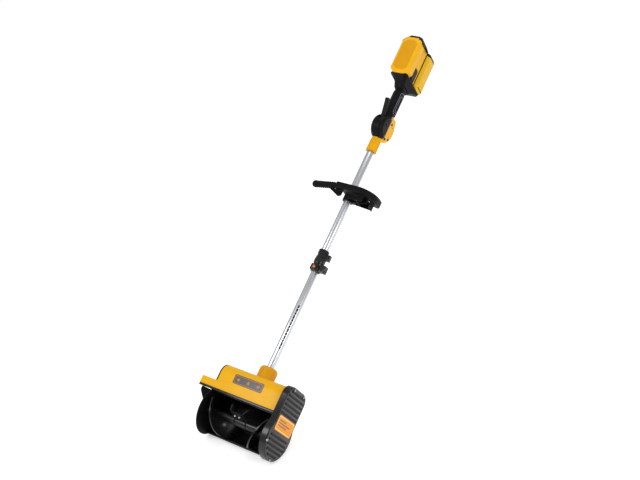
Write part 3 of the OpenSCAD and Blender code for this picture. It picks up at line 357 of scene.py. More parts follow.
def rounded(node, radius, finish=None, soft=None, soft_radius=0.0, segments=3):
    """A copy of a node with its edges rounded; edges where soft() holds get soft_radius."""
    shape = merged(node)
    bmesh.ops.dissolve_limit(shape, angle_limit=math.radians(1.0), verts=shape.verts, edges=shape.edges)
    weight = shape.edges.layers.float.new("bevel_weight_edge")
    widest = max(radius, soft_radius)
    for edge in shape.edges:
        if edge.is_manifold and edge.calc_face_angle(0) > math.radians(28):
            middle = (edge.verts[0].co + edge.verts[1].co) / 2
            edge[weight] = soft_radius / widest if soft and soft(middle) else radius / widest
    obj = piece(node + "_finished", shape)
    bevel = obj.modifiers.new("Edges", "BEVEL")
    bevel.limit_method = "WEIGHT"
    bevel.width = widest
    bevel.segments = segments
    bevel.use_clamp_overlap = False
    bevel.miter_outer = "MITER_ARC"
    smooth(baked(obj))
    slot = SLOT_OF[node]
    settle(obj, BODY_OF[node], slot, finish or SLOT_FINISH[slot], node)


def melted(nodes, voxel, rounds, finish=None, split=None, bend=None):
    """A soft moulding: the nodes remeshed in cells of voxel and smoothed rounds times.
    With split, the result is cut at x = 0 into a half for each of the two nodes, left first.
    bend moves each point of the result, in the shaft's axes."""
    whole = bmesh.new()
    for node in nodes:
        part = merged(node)
        mesh = bpy.data.meshes.new("part")
        part.to_mesh(mesh)
        part.free()
        whole.from_mesh(mesh)
        bpy.data.meshes.remove(mesh)
    if split:
        bmesh.ops.remove_doubles(whole, verts=[v for v in whole.verts if abs(v.co.x) < 1e-6], dist=2e-5)
    obj = piece(nodes[0] + "_finished", whole, None)
    cells = obj.modifiers.new("Cells", "REMESH")
    cells.mode = "VOXEL"
    cells.voxel_size = voxel
    relax = obj.modifiers.new("Relax", "SMOOTH")
    relax.factor = 0.5
    relax.iterations = rounds
    baked(obj)
    if bend:
        for vert in obj.data.vertices:
            vert.co = bend(vert.co)
    slot = SLOT_OF[nodes[0]]
    finish = finish or SLOT_FINISH[slot]
    if not split:
        obj.data.transform(SHAFT)
        settle(smooth(obj, 60), BODY_OF[nodes[0]], slot, finish, *nodes)
        return
    for side, node in zip((-1, 1), nodes):
        half = bmesh.new()
        half.from_mesh(obj.data)
        cut = bmesh.ops.bisect_plane(
            half, geom=half.verts[:] + half.edges[:] + half.faces[:], dist=1e-6,
            plane_co=(side * split, 0, 0), plane_no=(-side, 0, 0), clear_outer=True)
        edges = [e for e in cut["geom_cut"] if isinstance(e, bmesh.types.BMEdge)]
        bmesh.ops.triangle_fill(half, edges=edges, use_beauty=True, use_dissolve=False)
        bmesh.ops.recalc_face_normals(half, faces=half.faces)
        settle(smooth(piece(node + "_finished", half), 50), BODY_OF[node], slot, finish, node)
    bpy.data.objects.remove(obj)


def walls(shape, pairs):
    """Joins each pair of equal rings of vertices with a wall of quads."""
    for low, high in pairs:
        for i in range(len(low)):
            shape.faces.new((low[i - 1], low[i], high[i], high[i - 1]))


def lofted(name, rings):
    """A closed solid through rings of points, each ring with the same number of points."""
    shape = bmesh.new()
    rows = [[shape.verts.new(p) for p in ring] for ring in rings]
    walls(shape, zip(rows, rows[1:]))
    shape.faces.new(rows[0][::-1])
    shape.faces.new(rows[-1])
    bmesh.ops.recalc_face_normals(shape, faces=shape.faces)
    return piece(name, shape)


def rounded_rectangle(half_a, half_b, corner, steps=6):
    """Points of a rounded rectangle about the origin, in its own plane."""
    points = []
    for qa, qb, turn in ((1, 1, 0), (-1, 1, 90), (-1, -1, 180), (1, -1, 270)):
        for i in range(steps + 1):
            angle = math.radians(turn + 90 * i / steps)
            points.append((qa * (half_a - corner) + corner * math.cos(angle),
                           qb * (half_b - corner) + corner * math.sin(angle)))
    return points


def circle(radius, count, place):
    """Points round a circle; place() turns each pair of offsets from its centre into a point."""
    angles = [math.tau * i / count for i in range(count)]
    return [place(radius * math.cos(angle), radius * math.sin(angle)) for angle in angles]


def paths(lines, closed):
    """A mesh of bare edges along each line of points, each closing on itself if closed."""
    shape = bmesh.new()
    for points in lines:
        row = [shape.verts.new(p) for p in points]
        for a, b in zip(row, row[1:] + ([row[0]] if closed else [])):
            shape.edges.new((a, b))
    mesh = bpy.data.meshes.new("paths")
    shape.to_mesh(mesh)
    shape.free()
    return mesh


# ---------- rule-following pieces ----------

def new_tree(name, sockets):
    """An empty node tree with a geometry output and the named inputs."""
    tree = bpy.data.node_groups.new(name, "GeometryNodeTree")
    tree.interface.new_socket("Geometry", in_out="OUTPUT", socket_type="NodeSocketGeometry")
    for label, kind in [*sockets, ("Finish", "Material")]:
        tree.interface.new_socket(label, in_out="INPUT", socket_type="NodeSocket" + kind)
    return tree, grow(tree, "NodeGroupInput").outputs


def end_tree(tree, given, geometry):
    """Realises what the tree made, gives it its finish and sends it out."""
    real = grow(tree, "GeometryNodeRealizeInstances", {0: geometry})
    done = grow(tree, "GeometryNodeSetMaterial", {"Geometry": real, "Material": given["Finish"]})
    grow(tree, "NodeGroupOutput", {0: done})
    return tree


def calc(tree, operation, *values):
    return grow(tree, "ShaderNodeMath", dict(enumerate(values)), operation=operation)


def bar_tree():
    """Rounded bars along bare edges: ribs, beads, borders, printed dashes and strips."""
    tree, given = new_tree("Bars along lines", [
        ("Lines", "Geometry"), ("Width", "Float"), ("Height", "Float"), ("Corner", "Float"),
        ("Outward", "Vector")])
    line = grow(tree, "GeometryNodeMeshToCurve", {"Mesh": given["Lines"]})
    line = grow(tree, "GeometryNodeSetCurveNormal", {"Curve": line, "Normal": given["Outward"]}, mode="FREE")
    section = grow(tree, "GeometryNodeCurvePrimitiveQuadrilateral", {
        "Width": given["Height"], "Height": given["Width"]})
    section = grow(tree, "GeometryNodeFilletCurve", {"Curve": section, "Radius": given["Corner"], "Count": 3,
                                                      "Limit Radius": True}, mode="POLY")
    return end_tree(tree, given, grow(tree, "GeometryNodeCurveToMesh", {
        "Curve": line, "Profile Curve": section, "Fill Caps": True}))


def screw_tree():
    """Pan heads with a driver recess on points; each point's turn says which way it faces."""
    tree, given = new_tree("Screw heads", [
        ("Points", "Geometry"), ("Head radius", "Float"), ("Head height", "Float"), ("Recess", "Float")])
    base = grow(tree, "GeometryNodeMeshCylinder", {
        "Vertices": 28, "Radius": given["Head radius"], "Depth": given["Head height"]})
    flange = grow(tree, "GeometryNodeMeshCylinder", {
        "Vertices": 28, "Radius": calc(tree, "MULTIPLY", given["Head radius"], 0.8),
        "Depth": calc(tree, "MULTIPLY", given["Head height"], 1.5)})
    hollow = grow(tree, "GeometryNodeTransform", {
        "Geometry": grow(tree, "GeometryNodeMeshCylinder", {
            "Vertices": 6, "Radius": given["Recess"], "Depth": given["Head height"]}),
        "Translation": grow(tree, "ShaderNodeCombineXYZ", {
            "Z": calc(tree, "MULTIPLY", given["Head height"], 0.75)})})
    stack = grow(tree, "GeometryNodeMeshBoolean", {"Mesh 2": base}, operation="UNION")
    tree.links.new(flange.outputs[0], stack.inputs["Mesh 2"])
    head = grow(tree, "GeometryNodeMeshBoolean", {"Mesh 1": stack.outputs[0], "Mesh 2": hollow},
                operation="DIFFERENCE")
    turn = grow(tree, "GeometryNodeInputNamedAttribute", {"Name": "turn"}, data_type="FLOAT_VECTOR")
    return end_tree(tree, given, grow(tree, "GeometryNodeInstanceOnPoints", {
        "Points": given["Points"], "Instance": head, "Rotation": turn}))


def flight_tree():
    """A screw flight on the x axis: a lattice bent round the axle, thicker along its outer edge."""
    tree, given = new_tree("Auger flight", [
        ("Start", "Float"), ("Length", "Float"), ("Inner radius", "Float"), ("Outer radius", "Float"),
        ("Thickness", "Float"), ("Edge", "Float"), ("First angle", "Float"), ("Turn", "Float")])
    block = grow(tree, "GeometryNodeMeshCube", {
        "Size": (1, 1, 1), "Vertices X": 73, "Vertices Y": 9, "Vertices Z": 2})
    at = grow(tree, "ShaderNodeSeparateXYZ", {0: grow(tree, "GeometryNodeInputPosition")})
    along = calc(tree, "ADD", at.outputs["X"], 0.5)
    out = calc(tree, "ADD", at.outputs["Y"], 0.5)
    # The last ninth of the blade swells into a rubbing edge
    swell = grow(tree, "ShaderNodeMapRange", {
        "Value": out, "From Min": 0.86, "From Max": 0.9, "To Min": given["Thickness"], "To Max": given["Edge"]})
    radius = calc(tree, "ADD", given["Inner radius"], calc(
        tree, "MULTIPLY", out, calc(tree, "SUBTRACT", given["Outer radius"], given["Inner radius"])))
    angle = calc(tree, "ADD", given["First angle"], calc(tree, "MULTIPLY", along, given["Turn"]))
    x = calc(tree, "ADD", given["Start"], calc(
        tree, "ADD", calc(tree, "MULTIPLY", along, given["Length"]),
        calc(tree, "MULTIPLY", at.outputs["Z"], swell)))
    y = calc(tree, "MULTIPLY", -1.0, calc(tree, "MULTIPLY", radius, calc(tree, "COSINE", angle)))
    z = calc(tree, "MULTIPLY", radius, calc(tree, "SINE", angle))
    return end_tree(tree, given, grow(tree, "GeometryNodeSetPosition", {
        "Geometry": block, "Position": grow(tree, "ShaderNodeCombineXYZ", {"X": x, "Y": y, "Z": z})}))


def ring_tree():
    """Balls or stretched beads spaced round the z axis."""
    tree, given = new_tree("Ring of beads", [
        ("Count", "Int"), ("Ring radius", "Float"), ("Bead", "Vector"), ("Height", "Float")])
    ring = grow(tree, "GeometryNodeMeshCircle", {"Vertices": given["Count"], "Radius": given["Ring radius"]})
    index = grow(tree, "GeometryNodeInputIndex")
    turn = calc(tree, "MULTIPLY", calc(tree, "DIVIDE", index, given["Count"]), math.tau)
    beads = grow(tree, "GeometryNodeInstanceOnPoints", {
        "Points": ring, "Instance": grow(tree, "GeometryNodeMeshUVSphere", {
            "Segments": 14, "Rings": 8, "Radius": 1.0}),
        "Rotation": grow(tree, "ShaderNodeCombineXYZ", {"Z": turn}), "Scale": given["Bead"]})
    lift = grow(tree, "GeometryNodeTransform", {
        "Geometry": beads, "Translation": grow(tree, "ShaderNodeCombineXYZ", {"Z": given["Height"]})})
    return end_tree(tree, given, lift)


def spring_tree():
    """A round-wire coil spring along z."""
    tree, given = new_tree("Coil spring", [
        ("Turns", "Float"), ("Coil radius", "Float"), ("Length", "Float"), ("Wire radius", "Float")])
    coil = grow(tree, "GeometryNodeCurveSpiral", {
        "Resolution": 20, "Rotations": given["Turns"], "Start Radius": given["Coil radius"],
        "End Radius": given["Coil radius"], "Height": given["Length"]})
    wire = grow(tree, "GeometryNodeCurvePrimitiveCircle", {"Resolution": 10, "Radius": given["Wire radius"]})
    return end_tree(tree, given, grow(tree, "GeometryNodeCurveToMesh", {
        "Curve": coil, "Profile Curve": wire, "Fill Caps": True}))


TREES = {}


def realise(name, kind, values, finish, source=None, place=SHAFT):
    """Runs a tree and keeps its result as a plain mesh object."""
    if kind not in TREES:
        TREES[kind] = {"bars": bar_tree, "screws": screw_tree, "flight": flight_tree,
                       "ring": ring_tree, "spring": spring_tree}[kind]()
    tree = TREES[kind]
    obj = bpy.data.objects.new(name, source or bpy.data.meshes.new("bare"))
    pattern = obj.modifiers.new("Pattern", "NODES")
    pattern.node_group = tree
    for item in tree.interface.items_tree:
        if item.in_out == "INPUT" and item.name in values:
            pattern[item.identifier] = values[item.name]
        elif item.in_out == "INPUT" and item.name == "Finish":
            pattern[item.identifier] = MATERIALS[finish]
    bpy.context.scene.collection.objects.link(obj)
    baked(obj)
    if not obj.data.polygons:
        raise RuntimeError(f"{name} came out empty")
    if place is not None:
        obj.data.transform(place)
    return smooth(obj)


def bars(name, lines, width, height, outward, body, slot, finish, closed=False, corner=None):
    """Rounded bars along lines in the shaft's axes."""
    obj = realise(name, "bars", {
        "Width": width, "Height": height, "Corner": corner or min(width, height) * BAR_CORNER,
        "Outward": outward}, finish, paths(lines, closed))
    settle(obj, body, slot, finish)


def gathered(objects):
    """A bmesh of all the objects' meshes; the objects go."""
    shape = bmesh.new()
    for obj in objects:
        shape.from_mesh(obj.data)
        bpy.data.objects.remove(obj)
    return shape


def point_mesh(points, turns):
    mesh = bpy.data.meshes.new("points")
    mesh.from_pydata([tuple(p) for p in points], [], [])
    turn = mesh.attributes.new("turn", "FLOAT_VECTOR", "POINT")
    for item, value in zip(turn.data, turns):
        item.vector = value
    return mesh


# ---------- the snow-throwing head ----------

def outline(inset, half, radius, top, corner, steps=10):
    """The belt cover's outline: round at the foot, with two rounded top corners, as (y, z) about the axle."""
    radius, half, top, corner = radius - inset, half - inset, top - inset, corner - inset
    meet = math.acos(half / radius)
    points = []
    for i in range(49):
        angle = meet - (math.pi + 2 * meet) * i / 48
        points.append((radius * math.cos(angle), radius * math.sin(angle)))
    for side, start in ((-1, 180), (1, 90)):
        for i in range(steps + 1):
            angle = math.radians(start - 90 * i / steps)
            points.append((side * (half - corner) + corner * math.cos(angle),
                           top - corner + corner * math.sin(angle)))
    return points


def make_scoop(sizes):
    rounded("scoop_shell", sizes.edge)
    rounded("scraper", 0.6 * MM, "polyethylene_wear_strip")
    rounded("left_side", 1.2 * MM, "nylon_black_fine_texture")
    rounded("hood", 0.9 * MM, soft=lambda p: p.x > -0.2 and p.z > 0.09, soft_radius=2.4 * MM, segments=4)
    rounded("lip_trim", 0.9 * MM)
    # The neck cover takes the darker yellow of painted shade
    melted(["neck_cover"], 1.1 * MM, 10, "abs_yellow_painted_shade")
    # A plain dark badge where a maker would print a mark
    middle = Vector((-0.01, span("hood")[0].y - 0.0003, 0.128))
    long, high = 0.062, 0.017
    badge = [[(middle.x + a, middle.y + depth, middle.z + b)
              for a, b in rounded_rectangle(long - cut, high - cut, 0.006)]
             for depth, cut in ((0.0006, 0.0), (0.0001, 0.0), (-0.0002, 0.0004))]
    settle(lofted("hood_badge", badge), "attachment", "label_orange", "polyester_film_black")
    front = middle + Vector((0, -0.0003, 0))
    border = [(front.x + a, front.y, front.z + b)
              for a, b in rounded_rectangle(long - 0.0045, high - 0.0038, 0.0045)]
    flakes = []
    for at in (-0.042, 0.0, 0.042):
        for turn in (0, 60, 120):
            arm = Vector((math.cos(math.radians(turn)), 0, math.sin(math.radians(turn)))) * 0.0075
            heart = front + Vector((at, 0, 0))
            flakes.append([heart - arm, heart + arm])
    bars("badge_border", [border], 0.9 * MM, 0.4 * MM, (0, -1, 0), "attachment", "label_orange",
         "polyester_film_orange", closed=True)
    bars("badge_crystals", flakes, 1.4 * MM, 0.4 * MM, (0, -1, 0), "attachment", "label_orange",
         "polyester_film_orange")


def make_belt_cover(sizes):
    low, high = span("belt_cover")
    ribs_high = sizes.rib_height
    face = high.x - ribs_high
    points = [Vector((p.x, p.y - AXLE_Y, p.z)) for p in shaft_points("belt_cover")]
    top, radius = max(p.z for p in points), -min(p.z for p in points)
    half = max(abs(p.y) for p in points if p.z > radius * 0.8)
    corner, wall, soft = sizes.cover_corner, 3 * MM, sizes.cover_edge
    levels = [(low.x, 0.0)] + [
        (face - soft + soft * math.sin(math.radians(t)), soft - soft * math.cos(math.radians(t)))
        for t in (0, 18, 36, 54, 72, 90)]
    outer = [[(x, y + AXLE_Y, z) for y, z in outline(inset, half, radius, top, corner)] for x, inset in levels]
    inner = [[(x, y + AXLE_Y, z) for y, z in outline(inset, half, radius, top, corner)]
             for x, inset in ((face - wall, wall + soft), (face - wall - soft, wall), (low.x, wall))]
    shape = bmesh.new()
    rows = [[shape.verts.new(p) for p in ring] for ring in outer + inner]
    split = len(outer)
    walls(shape, [*zip(rows[:split], rows[1:split]), *zip(rows[split:], rows[split + 1:]), (rows[-1], rows[0])])
    shape.faces.new(rows[split - 1])
    shape.faces.new(rows[split])
    bmesh.ops.recalc_face_normals(shape, faces=shape.faces)
    settle(smooth(piece("belt_cover_finished", shape), 30), "attachment", "cover_black", "nylon_black_polished",
           "belt_cover")
    # Ribs run front to back, left out behind the label
    label_low, label_high = span("cover_label")
    pitch, width = sizes.rib_pitch, sizes.rib_width
    lines = []
    for i in range(1, int((top + radius) / pitch)):
        z = -radius + i * pitch + width / 2
        if label_low.z - 0.003 < z + width / 2 and z - width / 2 < label_high.z + 0.003:
            continue
        inset = sizes.rib_inset
        if z > top - corner:
            reach = half - corner + math.sqrt(max((corner - inset) ** 2 - (z - top + corner) ** 2, 0))
        elif z < 0:
            reach = math.sqrt(max((radius - inset) ** 2 - z * z, 0))
            if z >= -0.03:
                reach = min(half - inset + 0.004, reach)
        else:
            reach = half - inset
        if reach > 0.015:
            lines.append([(face, AXLE_Y - reach, z), (face, AXLE_Y + reach, z)])
    bars("belt_cover_ribs", lines, width, 2 * ribs_high, (1, 0, 0), "attachment", "cover_black",
         "nylon_charcoal_texture", corner=1.5 * MM)
    # The thick polished rim round the cover
    rim = [(face - 0.003, y + AXLE_Y, z) for y, z in outline(0.0042, half, radius, top, corner)]
    bars("belt_cover_rim", [rim], 5.4 * MM, 7.4 * MM, (1, 0, 0), "attachment", "cover_black",
         "nylon_black_polished", closed=True, corner=2.2 * MM)
    # Label: a film with a cream border and plain printed blocks
    middle = (label_low + label_high) / 2
    hy, hz = (label_high.y - label_low.y) / 2, (label_high.z - label_low.z) / 2
    film = [[(x, middle.y + a, middle.z + b) for a, b in rounded_rectangle(hy - cut, hz - cut, 0.007)]
            for x, cut in ((label_low.x - 0.0002, 0.0), (label_high.x - 0.0003, 0.0), (label_high.x, 0.0005))]
    settle(lofted("cover_label_film", film), "attachment", "label_orange", "polyester_film_orange", "cover_label")
    border = [(label_high.x, middle.y + a, middle.z + b)
              for a, b in rounded_rectangle(hy - 0.0045, hz - 0.0045, 0.005)]
    bars("cover_label_border", [border], 2.4 * MM, 0.5 * MM, (1, 0, 0), "attachment", "label_orange",
         "polyester_film_cream", closed=True)
    blocks = []
    for row, end in enumerate((0.5, 0.78, 0.64)):
        z = middle.z + 0.011 - row * 0.009
        blocks.append([(label_high.x, label_low.y + 2 * hy * share, z) for share in (0.1, end)])
    bars("cover_label_print", blocks, 3.2 * MM, 0.4 * MM, (1, 0, 0), "attachment", "label_orange",
         "polyester_film_black")


def make_auger(sizes):
    tips, hub = span("auger_flights")[1], span("auger_hub")[1].z
    inner, outer = span("centre_paddle")[1].x + 4.5 * MM, tips.x - 2.5 * MM
    shape = gathered([realise("blade", "flight", {
        "Start": side * inner, "Length": side * (outer - inner), "Inner radius": hub - 0.6 * MM,
        "Outer radius": tips.z, "Thickness": 3.4 * MM, "Edge": sizes.flight_edge,
        "First angle": math.radians(sizes.first_angle) + half_turn, "Turn": math.radians(sizes.flight_turn)},
        "polypropylene_black_gloss", place=Matrix.Translation((0, AXLE_Y, 0)))
        for side in (-1, 1) for half_turn in (0, math.pi)])
    bmesh.ops.recalc_face_normals(shape, faces=shape.faces)
    settle(smooth(piece("auger_flights_finished", shape), 40), "auger", "auger_black", "polypropylene_black_gloss",
           "auger_flights")
    rounded("auger_hub", 0.8 * MM)
    rounded("centre_paddle", 1.4 * MM, "nylon_black_fine_texture")
    rounded("auger_axle", 0.6 * MM)
    # Moulded collars where each flight grows out of the hub
    collars = [circle(hub + 0.4 * MM, 48, lambda a, b: (x, AXLE_Y + a, b)) for x in (-0.112, -0.024, 0.024, 0.112)]
    bars("auger_hub_collars", collars, 5 * MM, 3.4 * MM, (1, 0, 0), "auger", "auger_black",
         "polypropylene_black_gloss", closed=True)
    rounded("shear_bolt", 0.5 * MM, "steel_zinc_plated")


def make_drive():
    rounded("drive_plate", 0.5 * MM, "nylon_black_fine_texture")
    for node, radius, segments in (
            ("gearbox_left", 0.8, 3), ("gearbox_right", 0.8, 3), ("crown_gear", 0.25, 2), ("drive_pinion", 0.2, 2),
            ("cross_shaft", 0.5, 3), ("lower_drive_shaft", 0.3, 3), ("upper_drive_shaft", 0.3, 3),
            ("large_pulley", 0.5, 3), ("small_pulley", 0.5, 3)):
        rounded(node, radius * MM, segments=segments)
    # Teeth inside the belt, one every belt pitch along its run
    low, high = span("drive_belt")
    small_low, small_high = span("small_pulley")
    large_at = Vector((AXLE_Y, 0))
    small_at = Vector((small_low.y + small_high.y, small_low.z + small_high.z)) / 2
    run = (small_at - large_at).normalized()
    cogs = []
    for centre, radius, count, away in ((large_at, large_at.x - low.y, 76, -run),
                                        (small_at, high.z - small_at.y, 30, run)):
        for ray in circle(1.0, count, lambda a, b: Vector((a, b))):
            if ray.dot(away) > 0.15:
                at = centre + ray * (radius - 0.2 * MM)
                cogs.append([(x, at.x, at.y) for x in (low.x + 0.5 * MM, high.x - 0.5 * MM)])
    bars("drive_belt_cogs", cogs, 1.6 * MM, 0.8 * MM, (0, 1, 0), "attachment", "belt_rubber", "neoprene_matt")


def make_bearings():
    """Balls between the races of every bearing, gathered into one piece for each body."""
    for node, body in (("lower_bearings", "attachment"), ("upper_bearings", "power_head")):
        balls = []
        for low, high in loose_boxes(node):
            size, middle = high - low, (low + high) / 2
            axis = min(range(3), key=lambda i: size[i])
            outer = max(size) / 2
            # Solids too small to hold balls are passed over
            if outer < 6 * MM:
                continue
            middle[axis] += size[axis] * 0.2
            turn = TO_X if axis == 0 else Matrix.Identity(4)
            bead = outer * 0.15
            balls.append(realise("balls", "ring", {
                "Count": 9, "Ring radius": outer * 0.74, "Height": 0.0,
                "Bead": (bead, bead, min(bead, size[axis] * 0.42))},
                "steel_ground", place=Matrix.Translation(middle) @ turn))
        settle(smooth(piece(node + "_balls", gathered(balls))), body, "bearing_steel", "steel_ground")


# ---------- tubes, coupler and front handle ----------

def make_tubes(sizes):
    for node in ("lower_tube", "upper_tube"):
        rounded(node, 0.35 * MM, segments=2)
    low, high = span("lower_tube")
    # Printed marks up the tube: plain dashes of uneven length instead of a name
    facing = Vector((sizes.print_side, -math.sqrt(1 - sizes.print_side ** 2), 0))
    at = facing * (high.x + 0.02 * MM)
    z, lines = low.z + 0.132, []
    for length in (9, 13, 8, 12, 9, 14, 8, 11, 9, 13, 8, 12, 10):
        lines.append([(at.x, at.y, z), (at.x, at.y, z + length * MM)])
        z += (length + 3.2) * MM
    bars("lower_tube_print", lines, 7 * MM, 0.3 * MM, tuple(facing), "attachment", "trim_black",
         "polyester_film_black", corner=0.1 * MM)


def make_coupler():
    rounded("coupler_body", 1.1 * MM, "nylon_black_polished")
    melted(["coupler_knob"], 0.7 * MM, 5, "nylon_black_polished")
    rounded("coupler_button", 0.8 * MM)
    low, high = span("coupler_body")
    # Moulded grip bands round each end of the sleeve
    heights = (low.z + 0.052, low.z + 0.0585, high.z - 0.004, high.z - 0.0105, high.z - 0.017)
    bands = [circle(20 * MM, 56, lambda a, b: (a, b, z)) for z in heights]
    bars("coupler_bands", bands, 2.6 * MM, 2.4 * MM, (0, 0, 1), "power_head", "coupler_black",
         "nylon_black_polished", closed=True)


def make_loop_handle(sizes):
    melted(["loop_frame"], 1.3 * MM, 8, "nylon_black_fine_texture")
    rounded("loop_clamp", 1.2 * MM, "nylon_black_fine_texture")
    melted(["loop_knob"], 0.7 * MM, 4, "nylon_black_polished")
    melted(["loop_grip"], 1.2 * MM, 4, "rubber_overmould")
    # Raised rings along the overmoulded grip
    low, high = span("loop_grip")
    droop = math.radians(sizes.grip_droop)
    mid_y = (low.y + high.y) / 2
    radius = (high.y - low.y) / 2
    along = Vector((-math.cos(droop), 0, -math.sin(droop)))
    end = Vector((low.x + radius, mid_y, low.z + radius))
    start = end - along * ((high.x - end.x) / math.cos(droop))
    across = Vector((0, 1, 0))
    third = along.cross(across)
    centres = [start + along * (0.012 + 0.0085 * step) for step in range(9)]
    rings = [circle(radius - 2.2 * MM, 40, lambda a, b: centre + across * a + third * b) for centre in centres]
    bars("loop_grip_rings", rings, 4 * MM, 1.8 * MM, tuple(along), "loop_handle", "grip_rubber",
         "rubber_overmould", closed=True)


# ---------- rear handle ----------

def crowned(half, middle_y, middle_z, foot, head):
    """Draws a pod's flat sides in to a crown: sections near its two faces shrink towards its middle."""
    def bend(point):
        near = max(0.0, (abs(point.x) / half - 0.35) / 0.65)
        fade = min(1.0, max(0.0, (head - point.z) / 0.02)) * min(1.0, max(0.0, (point.z - foot) / 0.012))
        share = 1 - CROWN * near * near * fade
        return Vector((point.x, middle_y + (point.y - middle_y) * share, middle_z + (point.z - middle_z) * share))
    return bend


def make_rear_handle():
    front_low, front_high = span("handle_left")
    rear_low, rear_high = span("pod_rear_shell")
    half, middle = -front_low.x, (front_low.z + rear_high.z) / 2
    foot, head = front_low.z - 12 * MM, rear_high.z + 2 * MM
    melted(["handle_left", "handle_right"], 1.25 * MM, 14, "nylon_black_fine_texture", split=0.15 * MM,
           bend=crowned(half, -4 * MM, middle, foot, head))
    melted(["pod_rear_shell"], 1.2 * MM, 12, "abs_yellow_semi_gloss",
           bend=crowned(half, 6 * MM, middle, foot, head))
    # Upright ribs round the collar, and a rounded foot below them in the darker yellow of painted shade
    collar = 19.7 * MM
    ribs = [[(x, y, rear_low.z + 0.006), (x, y, rear_low.z + 0.05)]
            for x, y in circle(collar, 22, lambda a, b: (a, b))]
    bars("collar_ribs", ribs, 2.2 * MM, 2.2 * MM, (1, 0, 0), "power_head", "pod_yellow", "abs_yellow_semi_gloss")
    bars("collar_foot", [circle(collar, 64, lambda a, b: (a, b, rear_low.z + 0.0022))], 4 * MM, 2.6 * MM,
         (0, 0, 1), "power_head", "pod_yellow", "abs_yellow_painted_shade", closed=True)
    # Grey bead where the black and yellow halves of the pod meet
    z0, z1 = middle + (front_low.z - middle) * 0.93, middle + (rear_high.z - middle) * 0.93
    bead = [(a, 0.0042, (z0 + z1) / 2 + b) for a, b in rounded_rectangle(half - 0.0004, (z1 - z0) / 2, 0.012)]
    bars("pod_bead", [bead], 1.8 * MM, 1.6 * MM, (0, 1, 0), "power_head", "grip_rubber", "rubber_light_grey",
         closed=True)
    # Overmoulded side panels that wrap the grip, with a light border and raised waves
    low, high = span("grip_panels")
    rounded("grip_panels", 0.45 * MM, "rubber_overmould")
    grip_low, grip_high = min(p.y for p in shaft_points("handle_left") if p.z > high.z), front_high.y
    radius = high.x - 1.2 * MM
    mid_y, mid_z = (low.y + high.y) / 2, (low.z + high.z) / 2
    half_y, half_z = (high.y - low.y) / 2, (high.z - low.z) / 2

    def skin(y):
        """How far out the grip's side stands at y."""
        past = max(0.0, grip_low + radius - y, y - (grip_high - radius))
        return math.sqrt(max(radius ** 2 - past ** 2, 0.0)) + 1.1 * MM

    for side, mark in ((-1, "left"), (1, "right")):
        borders = [[(side * skin(mid_y + a), mid_y + a, mid_z + b) for a, b in rounded_rectangle(*shape, 8)]
                   for shape in ((half_y - 0.0012, half_z - 0.001, 0.007), (half_y * 0.55, half_z * 0.74, 0.006))]
        bars("grip_border_" + mark, borders, 1.5 * MM, 1.3 * MM, (side, 0, 0), "power_head",
             "grip_rubber", "rubber_light_grey", closed=True)
        waves = []
        for k in range(7):
            z = mid_z - half_z * 0.6 + k * half_z * 0.2
            spots = [(mid_y + half_y * 0.42 * (i / 5 - 1), z + 1.8 * MM * math.sin(math.pi * i / 5))
                     for i in range(11)]
            waves.append([(side * skin(y), y, rise) for y, rise in spots])
        bars("grip_waves_" + mark, waves, 2.8 * MM, 1.4 * MM, (side, 0, 0), "power_head", "grip_rubber",
             "rubber_overmould")


def make_controls():
    melted(["lock_off_lever"], 0.7 * MM, 10, "nylon_black_fine_texture")
    melted(["trigger"], 0.7 * MM, 8, "nylon_black_fine_texture")
    rounded("control_pins", 0.5 * MM)
    rounded("switch_module", 0.5 * MM)
    low, high = span("trigger_spring")
    wire, middle = 0.7 * MM, (low + high) / 2
    coil = realise("trigger_spring_finished", "spring", {
        "Turns": 5.0, "Coil radius": (high.y - low.y) / 2 - wire, "Length": high.x - low.x - 2 * wire,
        "Wire radius": wire}, "steel_zinc_plated",
        place=SHAFT @ Matrix.Translation((low.x + wire, middle.y, middle.z)) @ TO_X)
    settle(coil, "power_head", "shaft_steel", "steel_zinc_plated", "trigger_spring")


# ---------- power head ----------

